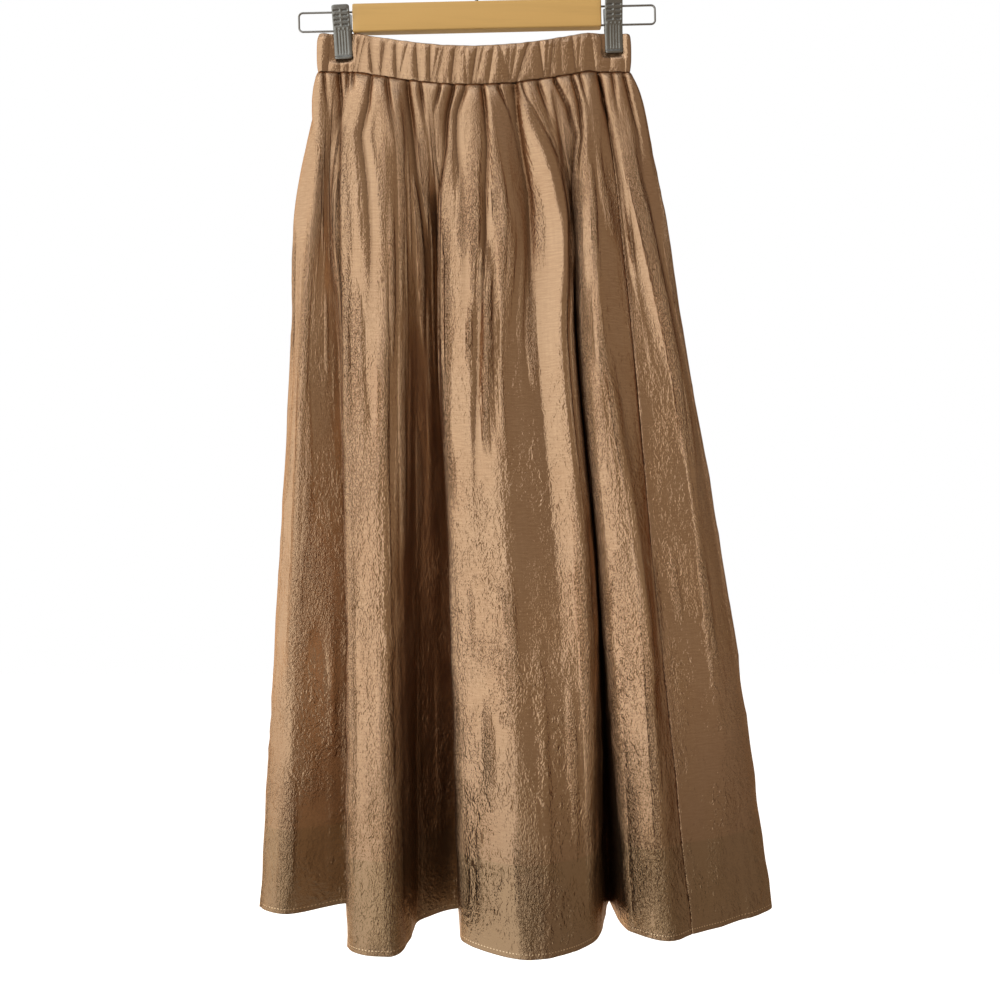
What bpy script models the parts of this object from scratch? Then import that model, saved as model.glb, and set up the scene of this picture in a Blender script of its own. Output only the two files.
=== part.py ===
"""Maxi skirt with a gathered elastic waist, hanging by two clips from a wooden hanger.

Metres, +Z up. The origin is the inside top of the hanger's hook. The wearer's front looks along -Y.
"""
import math

import bmesh
import bpy
import numpy as np
from mathutils import Matrix, Vector

MM = 0.001

# Hanger
BAR_LENGTH = 0.248
BAR_HEIGHT = 0.028
BAR_DEPTH = 0.0125
BAR_ROUND = 0.0035
BAR_CENTRE_Z = -0.095
HANGER_ROLL = math.radians(1.3)
HOOK_WIRE = 0.0035
HOOK_INNER_RADIUS = 0.0195
HOOK_SINK = 0.012
HOOK_TIP_ANGLE = math.radians(200)
HOOK_LEAVE_ANGLE = math.radians(-50)
RAIL_WIRE = 0.0020
RAIL_SPACING = 0.0188
RAIL_REACH = 0.054
RAIL_SINK = 0.010
RAIL_CORNER = 0.004
RAIL_BELOW_CENTRE = 0.0017
HOLE_CLEARANCE = 0.0003

# Clips
CLIP_WIDTH = 0.0175
CLIP_SHEET = 0.0012
CLIP_LEFT_X = -0.1345
CLIP_RIGHT_X = 0.1360
CLIP_LEFT_LEAN = math.radians(1.7)
CLIP_RIGHT_LEAN = math.radians(0.3)
SLEEVE_LENGTH = 0.0142
SLEEVE_OUTER = 0.0026
SLEEVE_INNER = 0.0013
EAR_SHEET = 0.0012
EAR_HEIGHT = 0.0050
EAR_NEAR = 0.0015
EAR_FAR = 0.0062
LOWER_WIRE_Z = BAR_CENTRE_Z - RAIL_BELOW_CENTRE - RAIL_SPACING / 2

# A jaw's inner face in mm, from its lower edge up: how far off the middle plane, and how far above the lower wire
JAW_PROFILE = (
    # off, z
    (4.2, -29.5),
    (3.6, -26.7),
    (3.6, -9.0),
    (5.4, 0.0),
    (9.3, 13.0),
    (11.6, 21.5),
)

# Waistband
BAND_TOP_Z = -0.1130
BAND_HEIGHT = 0.0385
BAND_SAG = 0.0165
BAND_SAG_CENTRE_X = -0.003
BAND_SAG_REACH = 0.116
BAND_INSIDE = 0.0014
BAND_OUTSIDE = 0.0006
BAND_SWELL = 0.0008
RUCHE_HEIGHT = 0.0017
RUCHE_SLANT = 9.0
RUCHES = 58
BAND_COLUMNS = 240

# Skirt cloth
SKIRT_X = 0.0022
WALL = 0.0012
SEAM_GAP = 0.0003
CLOTH_LENGTH = 0.836
PANEL_COLUMNS = 120
GATHER_RISE = 0.007
BILLOW = 0.011
BILLOW_RISE = 0.020
BILLOW_FADE = 0.075
RIGHT_SEAM_LINE = 16.0
SEAM_BEFORE_END = 0.033
ROW_PARTS = (0.0, 0.006, 0.020, 0.045, 0.080, 0.125, 0.190, 0.285, 0.410, 0.570, 0.775, 1.0)

# The band's plan in mm: how far along X, and how far the cloth stands off the middle plane, front and back alike
BAND_PLAN = (
    # x, off
    (-157.0, 0.0),
    (-155.5, 2.4),
    (-150.0, 2.6),
    (-144.0, 1.7),
    (-125.0, 1.7),
    (-108.0, 5.2),
    (-62.0, 11.5),
    (-4.0, 14.5),
    (58.0, 11.5),
    (109.0, 5.2),
    (126.5, 1.7),
    (144.5, 1.7),
    (149.5, 2.2),
    (151.5, 0.0),
)

# Where down the skirt the fold table's levels lie, as parts of its length
LEVELS = (0.145, 0.31, 0.58, 1.0)

# The fold lines round the skirt, from the left side over the front to the right side and back behind.
# At each level, in mm: x, and how far the line lies in front of the middle plane. Last, the hem's height.
FOLD_LINES = (
    # hip x, front; thigh x, front; knee x, front; hem x, front; hem z
    (-178, 0, -184, 0, -196, 0, -215, 0, -985),  # left side
    (-160, 11, -170, 13, -177, 17, -188, 19, -985),  # fold A
    (-147, 3, -139, 4, -131, 2, -127, -14, -986),  # valley A to B
    (-138, 17, -131, 34, -121, 60, -113, 100, -990),  # fold B, left edge
    (-91, 24, -89, 41, -85, 68, -76, 113, -990),  # fold B, right
    (-75, 19, -73, 33, -70, 52, -63, 75, -990),
    (-62, 12, -60, 14, -57, 18, -56, 22, -990),
    (-40, 4, -37, -4, -27, -11, -16, -12, -990),  # valley B to C
    (-34, 17, -35, 33, -24, 52, -11, 74, -991),  # fold C, left edge
    (25, 27, 20, 45, 30, 71, 46, 110, -994),
    (53, 17, 59, 35, 77, 61, 93, 92, -993),
    (83, 26, 84, 44, 102, 66, 109, 76, -991),
    (89, 16, 93, 34, 112, 51, 118, 56, -990),  # fold C, right edge
    (94, 4, 100, -3, 121, -11, 134, -25, -987),  # valley C to D
    (101, 16, 103, 27, 120, 40, 147, 56, -988),  # fold D, left
    (122, 18, 126, 30, 158, 50, 179, 82, -988),
    (140, 9, 153, 13, 171, 28, 204, 64, -988),  # right side seam
    (165, 8, 189, 12, 221, 21, 254, 35, -986),
    (182, 0, 205, 0, 244, 0, 294, 0, -985),  # right side
    (175, -9, 195, -16, 230, -26, 274, -40, -985),
    (158, -17, 174, -34, 202, -58, 238, -86, -987),  # fold E
    (134, -10, 142, -14, 162, -18, 190, -20, -987),
    (114, -19, 120, -36, 138, -60, 160, -90, -989),  # fold F
    (80, -20, 86, -39, 100, -66, 114, -98, -990),
    (48, -11, 52, -14, 62, -17, 70, -18, -989),
    (18, -20, 20, -38, 24, -64, 32, -94, -991),  # fold G
    (-40, -21, -40, -40, -38, -68, -34, -104, -992),
    (-74, -12, -76, -15, -76, -18, -72, -20, -989),
    (-100, -19, -100, -36, -98, -60, -94, -88, -989),  # fold H
    (-140, -17, -142, -33, -142, -56, -140, -84, -988),
    (-156, -10, -162, -16, -168, -24, -174, -32, -986),
    (-169, -8, -175, -14, -186, -22, -203, -30, -985),
)

# Gathers below the band, left to right on the front and on the back: where each ridge starts along X, how high it
# stands and how far down it reaches before it has faded, in mm
FRONT_GATHERS = (
    # x, height, reach
    (-154, 3.8, 60), (-144, 4.3, 90), (-130, 4.3, 60), (-117, 3.8, 50), (-105, 5.8, 70), (-94, 4.9, 50),
    (-76, 6.4, 80), (-60, 5.8, 60), (-48, 4.9, 50), (-32, 5.2, 60), (-17, 6.4, 80), (-1, 5.8, 60),
    (14, 5.5, 60), (24, 3.8, 40), (36, 5.2, 60), (53, 6.4, 70), (71, 5.8, 60), (82, 4.3, 50),
    (101, 4.9, 70), (111, 4.9, 60), (126, 4.6, 60), (138, 4.3, 60), (149, 3.8, 60),
)
BACK_GATHERS = (
    # x, height, reach
    (-148, 3.8, 60), (-136, 4.6, 80), (-122, 4.3, 50), (-110, 5.2, 70), (-96, 4.6, 60), (-82, 6.1, 80),
    (-70, 4.9, 50), (-54, 5.8, 70), (-42, 4.6, 50), (-28, 5.8, 60), (-12, 6.1, 80), (0, 4.6, 50),
    (15, 5.8, 60), (28, 4.9, 60), (45, 6.4, 80), (58, 4.9, 50), (72, 5.8, 70), (86, 4.6, 60),
    (98, 5.5, 60), (112, 4.6, 70), (124, 4.3, 50), (137, 4.3, 70), (147, 3.8, 60),
)

# Smaller folds on the front and on the back: x at the start, middle and end, start and end below the band, the
# half widths to the left and to the right of the crest, and the height, in mm. A trough's height is negative.
FRONT_FALLS = (
    # x start, x middle, x end, start, end, left, right, height
    (-100, -106, -112, 10, 115, 5, 5, -2.5),
    (-107, -105, -103, 95, 220, 4, 3, -2.0),
    (-119, -120, -121, 215, 400, 5, 5, -2.5),
    (-90, -83, -84, 15, 170, 10, 5, 3.5),
    (-60, -48, -50, 5, 290, 7, 4, 5.5),
    (-72, -66, -66, 10, 240, 7, 6, -3.0),
    (-42, -38, -40, 5, 150, 4, 5, -4.0),
    (-18, -13, -24, 5, 260, 9, 4, 6.0),
    (-2, 7, -12, 10, 250, 8, 8, -6.0),
    (15, 26, 25, 10, 210, 8, 4, 4.0),
    (34, 34, 34, 5, 85, 4, 3, 3.0),
    (44, 48, 53, 15, 340, 7, 6, -4.5),
    (70, 82, 84, 5, 270, 10, 4, 4.0),
    (88, 96, 94, 5, 150, 4, 4, -4.0),
    (100, 102, 98, 5, 130, 4, 3, 3.5),
    (110, 116, 122, 5, 230, 8, 4, 4.0),
    (118, 150, 171, 5, 320, 7, 7, -4.5),
    (134, 181, 221, 5, 450, 10, 6, 4.0),
    (155, 160, 167, 5, 115, 6, 4, 2.5),
    (2, 1, -1, 205, 410, 4, 4, -3.0),
    (60, 66, 69, 540, 960, 6, 4, 2.5),
    (-143, -146, -143, 520, 830, 7, 5, 3.0),
)
BACK_FALLS = (
    # x start, x middle, x end, start, end, left, right, height
    (150, 158, 170, 10, 260, 8, 6, 3.0),
    (132, 140, 146, 20, 330, 7, 8, -3.5),
    (112, 118, 124, 10, 200, 8, 6, 3.5),
    (92, 98, 104, 30, 420, 7, 9, -3.5),
    (66, 68, 76, 10, 260, 8, 5, 4.5),
    (40, 44, 46, 10, 170, 6, 6, -3.0),
    (14, 12, 10, 15, 300, 9, 5, 4.0),
    (-8, -12, -14, 20, 400, 7, 8, -3.5),
    (-30, -34, -38, 10, 220, 6, 8, 4.0),
    (-58, -60, -60, 10, 300, 6, 7, -4.0),
    (-82, -84, -86, 10, 190, 8, 6, 3.5),
    (-104, -112, -114, 30, 380, 7, 7, -3.0),
    (-128, -132, -136, 10, 240, 6, 8, 3.5),
    (-20, -22, -24, 430, 900, 7, 6, 2.5),
    (96, 104, 110, 400, 880, 7, 6, 2.5),
)


def spline(knots, values, where):
    """Smooth curve through values at rising knots: each span is a cubic with the slopes of its neighbours."""
    knots = np.asarray(knots, float)
    values = np.asarray(values, float)
    steps = np.diff(knots).reshape((-1,) + (1,) * (values.ndim - 1))
    rises = np.diff(values, axis=0) / steps
    slopes = np.concatenate([rises[:1], (rises[:-1] * steps[1:] + rises[1:] * steps[:-1])
                             / (steps[:-1] + steps[1:]), rises[-1:]])
    span = np.clip(np.searchsorted(knots, where, side="right") - 1, 0, len(knots) - 2)
    width = (knots[span + 1] - knots[span]).reshape((-1,) + (1,) * (values.ndim - 1))
    part = (np.asarray(where) - knots[span]).reshape(width.shape) / width
    return (values[span] * (1 + 2 * part) * (1 - part) ** 2 + slopes[span] * width * part * (1 - part) ** 2
            + values[span + 1] * (3 - 2 * part) * part ** 2 - slopes[span + 1] * width * (1 - part) * part ** 2)


def closed_spline(points, where):
    """Closed smooth curve through points; where counts points, so 2.5 lies midway between points 2 and 3."""
    count = len(points)
    around = np.concatenate([points[-3:], points, points[:3]])
    chords = np.linalg.norm(np.diff(around[:, :2], axis=0), axis=1) ** 0.5
    knots = np.concatenate([[0.0], np.cumsum(chords)])
    index = np.mod(where, count) + 3
    low = np.floor(index).astype(int)
    return spline(knots, around, knots[low] + (index - low) * (knots[low + 1] - knots[low]))


def walked(points):
    """Distance walked along each point of an open line."""
    return np.concatenate([[0.0], np.cumsum(np.linalg.norm(np.diff(points, axis=0), axis=1))])


def band_loop():
    """The band's plan as a closed fine line, from the left end over the front, with its length."""
    plan = np.array(BAND_PLAN)
    front = np.column_stack([plan[:, 0], -plan[:, 1]])
    back = np.column_stack([plan[-2:0:-1, 0], plan[-2:0:-1, 1]])
    points = np.concatenate([front, back]) * MM + (SKIRT_X, 0.0)
    fine = closed_spline(points, np.linspace(0, len(points), 2401))
    return fine, walked(fine)


def fold_levels():
    """The fold table as arrays: x and y of each line at each level, and its height at the hem."""
    table = np.array(FOLD_LINES, float) * MM
    return table[:, 0:8:2].T + SKIRT_X, -table[:, 1:8:2].T, table[:, 8]


def line_shares():
    """Each fold line's share of the way round the cloth, taken at the knee and the hem together."""
    across, ahead, _ = fold_levels()
    count = across.shape[1]
    where = np.linspace(0, count, 40 * count + 1)
    shares = []
    for level in (2, 3):
        loop = closed_spline(np.column_stack([across[level], ahead[level]]), where)
        way = walked(loop)
        shares.append(way[::40] / way[-1])
    return np.mean(shares, axis=0)


def seam_share(shares):
    """The right side seam's share of the way round."""
    return np.interp(RIGHT_SEAM_LINE, np.arange(len(shares)), shares)


def seam_along_band(way, fine):
    """Where along the band the right side seam starts, a little short of the band's right end."""
    return way[np.argmax(fine[:, 0])] - SEAM_BEFORE_END


def gather_ridges(fine, way):
    """Where each gather's ridge starts along the band, with its height and its reach, all the way round."""
    end = np.argmax(fine[:, 0])
    front = np.array(FRONT_GATHERS) * MM
    back = np.array(BACK_GATHERS[::-1]) * MM
    front_along = np.interp(front[:, 0] + SKIRT_X, fine[:end, 0], way[:end])
    back_along = np.interp(-back[:, 0] - SKIRT_X, -fine[end:, 0], way[end:])
    return np.concatenate([front_along, back_along]), np.concatenate([front[:, 1:], back[:, 1:]])


def gather(along, length, below, ridges, sizes):
    """Outward swell of the gathers: round arches between valleys midway from ridge to ridge, fading down the cloth."""
    count = len(ridges)
    around = np.concatenate([ridges[-1:] - length, ridges, ridges[:1] + length])
    phase = np.interp(along, around, np.arange(-1, count + 1)) + 0.5
    height, reach = sizes[np.floor(phase).astype(int) % count].T
    rise = 0.35 + 0.65 * np.minimum(below / GATHER_RISE, 1.0)
    return height * np.sin(math.pi * phase) ** 2 * rise * np.exp(-(below / reach) ** 1.4)


def billow(below):
    """How far the gathered cloth rounds out below the band before it falls straight."""
    return BILLOW * (1 - math.exp(-below / BILLOW_RISE)) * math.exp(-(below / BILLOW_FADE) ** 2)


def falls(plan, facing, below):
    """Outward swell of the smaller folds: a bell across each, faded at both ends; facing is the normal's Y."""
    swell = np.zeros(len(plan))
    for table, side in ((FRONT_FALLS, -1), (BACK_FALLS, 1)):
        seen = np.clip(2 * side * facing, 0.0, 1.0)
        for start_x, middle_x, end_x, start, end, left, right, height in table:
            down = np.clip((below / MM - start) / (end - start), 0.0, 1.0)
            bend = 4 * middle_x - 3 * start_x - end_x
            crest = start_x + down * (bend + down * (end_x - start_x - bend))
            apart = (plan[:, 0] - SKIRT_X) / MM - crest
            bell = np.exp(-(apart / np.where(apart < 0, left, right)) ** 2)
            swell += seen * height * MM * np.sin(math.pi * down ** 0.6) ** 2 * bell
    return swell


def band_sag(x):
    """How far the band hangs down between the clips."""
    turn = np.clip((x - BAND_SAG_CENTRE_X) / BAND_SAG_REACH, -1, 1) * math.pi / 2
    return BAND_SAG * np.cos(turn)


def outward(loop, closed):
    """Unit normals in plan, pointing out of a loop that runs left, front, right, back."""
    if closed:
        ahead = np.roll(loop, -1, axis=0) - np.roll(loop, 1, axis=0)
    else:
        ahead = np.gradient(loop, axis=0)
    normal = np.column_stack([ahead[:, 1], -ahead[:, 0]])
    return normal / np.linalg.norm(normal, axis=1, keepdims=True)


def skirt_grid(turns, parts):
    """The cloth's middle surface: rows down the skirt by columns round it, as X, Y, Z."""
    fine, way = band_loop()
    shares = line_shares()
    around = np.mod(turns + seam_share(shares), 1.0)
    lines = np.interp(around, shares, np.arange(len(shares)))
    along = np.mod(seam_along_band(way, fine) + turns * way[-1], way[-1])
    band = np.column_stack([np.interp(along, way, fine[:, 0]), np.interp(along, way, fine[:, 1])])
    across, ahead, hem = fold_levels()
    levels = [band]
    for x, y in zip(across, ahead):
        levels.append(closed_spline(np.column_stack([x, y]), lines))
    plans = spline((0.0,) + LEVELS, np.array(levels), parts)
    base_hem = closed_spline(np.column_stack([across[3], ahead[3], hem]), lines)[:, 2]
    top = BAND_TOP_Z - BAND_HEIGHT - SEAM_GAP - band_sag(band[:, 0])
    ridges, sizes = gather_ridges(fine, way)
    rows = []
    for part, plan in zip(parts, plans):
        below = part * CLOTH_LENGTH
        side = outward(plan, False)
        swell = gather(along, way[-1], below, ridges, sizes) + falls(plan, side[:, 1], below) + billow(below)
        plan = plan + side * (swell + WALL / 2)[:, None]
        rows.append(np.column_stack([plan, top + (base_hem - top) * part]))
    return np.array(rows)


def link(name, bm, material):
    """Makes the object of a finished bmesh."""
    bmesh.ops.recalc_face_normals(bm, faces=bm.faces)
    mesh = bpy.data.meshes.new(name)
    bm.to_mesh(mesh)
    bm.free()
    mesh.materials.append(material)
    obj = bpy.data.objects.new(name, mesh)
    bpy.context.scene.collection.objects.link(obj)
    return obj


def paint(name, colour, roughness, metallic=0.0):
    """A plain material."""
    material = bpy.data.materials.new(name)
    material.use_nodes = True
    shader = material.node_tree.nodes["Principled BSDF"]
    shader.inputs["Base Color"].default_value = (*colour, 1.0)
    shader.inputs["Roughness"].default_value = roughness
    shader.inputs["Metallic"].default_value = metallic
    material.diffuse_color = (*colour, 1.0)
    return material


def tile(bm, grid, wrap):
    """Adds a grid of points to a bmesh and skins it with quads; returns its vertices by row."""
    verts = [[bm.verts.new(point) for point in row] for row in grid]
    for upper, lower in zip(verts[:-1], verts[1:]):
        bridge(bm, upper, lower, wrap)
    return verts


def bridge(bm, first, second, wrap=False):
    """Closes the strip between two rows of vertices."""
    count = len(first)
    for i in range(count if wrap else count - 1):
        j = (i + 1) % count
        bm.faces.new((first[i], first[j], second[j], second[i]))


def close_wall(bm, outer, inner, wrap):
    """Skins both faces of a wall and closes it along its top, its bottom and, if it doesn't wrap, its sides."""
    outer = tile(bm, outer, wrap)
    inner = tile(bm, inner, wrap)
    bridge(bm, outer[0], inner[0], wrap)
    bridge(bm, outer[-1], inner[-1], wrap)
    if not wrap:
        for side in (0, -1):
            bridge(bm, [row[side] for row in outer], [row[side] for row in inner])


def make_panel(name, first_turn, last_turn, material):
    """One skirt panel between its two side seams. Two spare columns past each seam give both panels one edge."""
    step = (last_turn - first_turn) / PANEL_COLUMNS
    turns = first_turn + step * np.arange(-2, PANEL_COLUMNS + 3)
    outer, inner = [], []
    for row in skirt_grid(turns, np.array(ROW_PARTS)):
        plan = row[:, :2]
        side = outward(plan, False)
        tangent = np.column_stack([-side[:, 1], side[:, 0]])
        back_off = np.zeros((len(plan), 1))
        back_off[2] = SEAM_GAP / 2
        back_off[-3] = -SEAM_GAP / 2
        plan = plan + tangent * back_off
        for face, sign in ((outer, 1), (inner, -1)):
            face.append(np.column_stack([plan + sign * side * WALL / 2, row[:, 2]])[2:-2])
    bm = bmesh.new()
    close_wall(bm, outer, inner, False)
    panel = link(name, bm, material)
    panel.data.shade_smooth()
    return panel


def flattened(x):
    """1 along the free band, falling to 0 under each clip."""
    free = np.ones_like(x)
    for clip_x in (CLIP_LEFT_X, CLIP_RIGHT_X):
        free *= 1 - np.exp(-((x - clip_x - SKIRT_X) / (0.75 * CLIP_WIDTH)) ** 8)
    return free


def make_band(material):
    """The ruched casing: a plain inner face and an outer face with slanting ruches."""
    fine, way = band_loop()
    along = np.linspace(0, way[-1], BAND_COLUMNS, endpoint=False)
    plan = np.column_stack([np.interp(along, way, fine[:, 0]), np.interp(along, way, fine[:, 1])])
    normal = outward(plan, True)
    sag = band_sag(plan[:, 0])
    turn = 2 * math.pi * along / way[-1]
    free = flattened(plan[:, 0])
    outer = []
    for part in (0.0, 0.5, 1.0):
        slant = RUCHE_SLANT * (part - 0.5) * np.sin(3 * turn)
        phase = RUCHES * turn / (2 * math.pi) + 0.35 * np.sin(4 * turn + 1.0) + slant
        ruche = RUCHE_HEIGHT * (0.7 + 0.3 * np.sin(7 * turn + part)) * np.sin(math.pi * phase) ** 2
        swell = BAND_OUTSIDE + free * (ruche + BAND_SWELL * 4 * part * (1 - part))
        z = BAND_TOP_Z - BAND_HEIGHT * part - sag
        outer.append(np.column_stack([plan + normal * swell[:, None], z]))
    inner = [np.column_stack([plan - normal * BAND_INSIDE, BAND_TOP_Z - BAND_HEIGHT * part - sag])
             for part in (0.0, 1.0)]
    bm = bmesh.new()
    close_wall(bm, outer, inner, True)
    band = link("waistband", bm, material)
    band.data.shade_smooth()
    return band


def use_tool(obj, tool, operation):
    """Cuts or joins a tool into an object and hides the tool."""
    boolean = obj.modifiers.new(operation.lower(), "BOOLEAN")
    boolean.operation = operation
    boolean.object = tool
    boolean.solver = "EXACT"
    tool.hide_render = True
    tool.display_type = "WIRE"
    tool.hide_set(True)


def block(name, size, centre, material):
    """A plain box."""
    bm = bmesh.new()
    bmesh.ops.create_cube(bm, size=1.0, matrix=Matrix.Translation(centre) @ Matrix.Diagonal((*size, 1.0)))
    return link(name, bm, material)


def rod(name, radius, start, end, sides, material):
    """A round rod between two points."""
    start, end = Vector(start), Vector(end)
    turn = (end - start).to_track_quat("Z", "Y").to_matrix().to_4x4()
    bm = bmesh.new()
    bmesh.ops.create_cone(bm, cap_ends=True, segments=sides, radius1=radius, radius2=radius,
                          depth=(end - start).length, matrix=Matrix.Translation((start + end) / 2) @ turn)
    return link(name, bm, material)


def wire(name, radius, points, material):
    """A round wire along a line of points in the hanger's plane, given as x and z."""
    curve = bpy.data.curves.new(name, "CURVE")
    curve.dimensions = "3D"
    curve.bevel_depth = radius
    curve.bevel_resolution = 2
    curve.use_fill_caps = True
    path = curve.splines.new("POLY")
    path.points.add(len(points) - 1)
    for point, (x, z) in zip(path.points, points):
        point.co = (x, 0.0, z, 1.0)
    curve.materials.append(material)
    obj = bpy.data.objects.new(name, curve)
    bpy.context.scene.collection.objects.link(obj)
    return obj


def arc(centre, radius, first, last, steps):
    """Points along an arc in the hanger's plane, with angles from +X towards +Z."""
    angles = np.linspace(first, last, steps)
    return [(centre[0] + radius * math.cos(a), centre[1] + radius * math.sin(a)) for a in angles]


def hook_route():
    """The hook's centre line: round from its tip over the rod, back to the middle and down into the bar."""
    radius = HOOK_INNER_RADIUS + HOOK_WIRE / 2
    points = arc((0.0, -HOOK_INNER_RADIUS), radius, HOOK_TIP_ANGLE, HOOK_LEAVE_ANGLE, 19)
    leave = np.array(points[-1])
    heading = np.array([math.sin(HOOK_LEAVE_ANGLE), -math.cos(HOOK_LEAVE_ANGLE)])
    handles = [leave, leave + heading * radius / 2, np.array([0.0, -0.048]), np.array([0.0, -0.058])]
    for t in np.linspace(0, 1, 9)[1:]:
        weights = ((1 - t) ** 3, 3 * t * (1 - t) ** 2, 3 * t * t * (1 - t), t ** 3)
        points.append(tuple(sum(w * h for w, h in zip(weights, handles))))
    points.append((0.0, BAR_CENTRE_Z + BAR_HEIGHT / 2 - HOOK_SINK))
    return points


def rail_route(side):
    """A rail's centre line: out of the bar along the upper wire, round the end and back along the lower one."""
    upper = BAR_CENTRE_Z - RAIL_BELOW_CENTRE + RAIL_SPACING / 2
    lower = upper - RAIL_SPACING
    inner = BAR_LENGTH / 2 - RAIL_SINK
    bend = BAR_LENGTH / 2 + RAIL_REACH - RAIL_CORNER
    quarter = math.pi / 2
    points = [(inner, upper)] + arc((bend, upper - RAIL_CORNER), RAIL_CORNER, quarter, 0, 5)
    points += arc((bend, lower + RAIL_CORNER), RAIL_CORNER, 0, -quarter, 5) + [(inner, lower)]
    return [(side * x, z) for x, z in points]


def make_bar(material):
    """The wooden bar, rounded along its edges and drilled for the hook and both rails."""
    bar = block("hanger_bar", (BAR_LENGTH, BAR_DEPTH, BAR_HEIGHT), (0, 0, BAR_CENTRE_Z), material)
    bevel = bar.modifiers.new("rounded edges", "BEVEL")
    bevel.width = BAR_ROUND
    bevel.segments = 3
    top = BAR_CENTRE_Z + BAR_HEIGHT / 2
    hook_drill = rod("hook drill", HOOK_WIRE / 2 + HOLE_CLEARANCE, (0, 0, top + 0.001),
                     (0, 0, top - HOOK_SINK - HOLE_CLEARANCE), 12, material)
    drills = [hook_drill]
    for side in (-1, 1):
        ends = rail_route(side)
        for x, z in (ends[0], ends[-1]):
            drills.append(rod("rail drill", RAIL_WIRE / 2 + HOLE_CLEARANCE, (side * (BAR_LENGTH / 2 + 0.001), 0, z),
                              (x - side * HOLE_CLEARANCE, 0, z), 10, material))
    for drill in drills:
        use_tool(bar, drill, "DIFFERENCE")
    return [bar] + drills


def make_jaw(name, x, front, material):
    """One pressed jaw of a clip: a bent plate with two ears that hold the sleeve. front is -1 or 1 along Y."""
    face = []
    for reach, z in JAW_PROFILE:
        face.append((front * reach * MM, z * MM + LOWER_WIRE_Z))
    back = []
    for reach, z in reversed(JAW_PROFILE):
        back.append((front * (reach * MM + CLIP_SHEET), z * MM + LOWER_WIRE_Z))
    bm = bmesh.new()
    ring = [bm.verts.new((x - CLIP_WIDTH / 2, y, z)) for y, z in face + back]
    far = [bm.verts.new((x + CLIP_WIDTH / 2, y, z)) for y, z in face + back]
    bridge(bm, ring, far, True)
    count = len(face)
    for cap in (ring, far):
        for i in range(count - 1):
            bm.faces.new((cap[i], cap[i + 1], cap[-2 - i], cap[-1 - i]))
    jaw = link(name, bm, material)
    ears = []
    for side in (-1, 1):
        centre = (x + side * (CLIP_WIDTH / 2 - EAR_SHEET / 2), front * (EAR_NEAR + EAR_FAR) / 2, LOWER_WIRE_Z)
        ears.append(block("ear", (EAR_SHEET, EAR_FAR - EAR_NEAR, EAR_HEIGHT), centre, material))
    for ear in ears:
        use_tool(jaw, ear, "UNION")
    return [jaw] + ears


def make_sleeve(name, x, material):
    """The clip's pivot tube, round the rail's lower wire."""
    angles = np.linspace(0, 2 * math.pi, 12, endpoint=False)
    outer, inner = [], []
    for end in (-1, 1):
        for rows, radius in ((outer, SLEEVE_OUTER), (inner, SLEEVE_INNER)):
            rows.append([(x + end * SLEEVE_LENGTH / 2, radius * math.cos(a), LOWER_WIRE_Z + radius * math.sin(a))
                         for a in angles])
    bm = bmesh.new()
    close_wall(bm, outer, inner, True)
    return link(name, bm, material)


def lean(objects, x, angle):
    """Turns a clip's pieces in the hanger's plane about its lower wire."""
    pivot = Matrix.Translation((x, 0, LOWER_WIRE_Z))
    for obj in objects:
        obj.matrix_world = pivot @ Matrix.Rotation(-angle, 4, "Y") @ pivot.inverted() @ obj.matrix_world


def make_hanger():
    """The bar, hook, rails and clips, rolled together about the hook's seat."""
    wood = paint("pale wood", (0.62, 0.42, 0.20), 0.55)
    steel = paint("bright steel", (0.62, 0.61, 0.60), 0.28, 1.0)
    pieces = make_bar(wood)
    pieces.append(wire("hanger_hook", HOOK_WIRE / 2, hook_route(), steel))
    for name, side in (("left", -1), ("right", 1)):
        pieces.append(wire("rail_" + name, RAIL_WIRE / 2, rail_route(side), steel))
    for name, x, angle in (("left", CLIP_LEFT_X, CLIP_LEFT_LEAN), ("right", CLIP_RIGHT_X, CLIP_RIGHT_LEAN)):
        clip = [make_sleeve("clip_" + name + "_sleeve", x, steel)]
        clip += make_jaw("clip_" + name + "_front", x, -1, steel)
        clip += make_jaw("clip_" + name + "_back", x, 1, steel)
        bpy.context.view_layer.update()
        lean(clip, x, angle)
        pieces += clip
    bpy.context.view_layer.update()
    for obj in pieces:
        obj.matrix_world = Matrix.Rotation(-HANGER_ROLL, 4, "Y") @ obj.matrix_world


def clear_scene():
    """Empties the file's scene."""
    for obj in list(bpy.data.objects):
        bpy.data.objects.remove(obj, do_unlink=True)


clear_scene()
satin = paint("champagne satin", (0.40, 0.23, 0.12), 0.42)
make_panel("skirt_front", -0.5, 0.0, satin)
make_panel("skirt_back", 0.0, 0.5, satin)
make_band(satin)
make_hanger()
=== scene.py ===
import math

import bmesh
import bpy
import numpy as np
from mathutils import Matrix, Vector


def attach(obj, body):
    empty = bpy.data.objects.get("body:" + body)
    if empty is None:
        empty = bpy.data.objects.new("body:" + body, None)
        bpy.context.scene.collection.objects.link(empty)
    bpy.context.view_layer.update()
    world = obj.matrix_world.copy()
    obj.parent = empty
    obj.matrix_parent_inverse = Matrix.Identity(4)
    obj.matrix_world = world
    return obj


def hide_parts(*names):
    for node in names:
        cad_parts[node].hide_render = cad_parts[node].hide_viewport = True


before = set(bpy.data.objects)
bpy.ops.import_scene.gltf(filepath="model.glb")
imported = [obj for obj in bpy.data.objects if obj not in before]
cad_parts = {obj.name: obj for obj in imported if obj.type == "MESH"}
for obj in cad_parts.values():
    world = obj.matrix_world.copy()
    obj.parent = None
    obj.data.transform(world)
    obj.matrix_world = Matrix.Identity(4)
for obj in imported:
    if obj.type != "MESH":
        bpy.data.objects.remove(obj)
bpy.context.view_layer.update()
mm = 0.001


# Camera, floor and light

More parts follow.
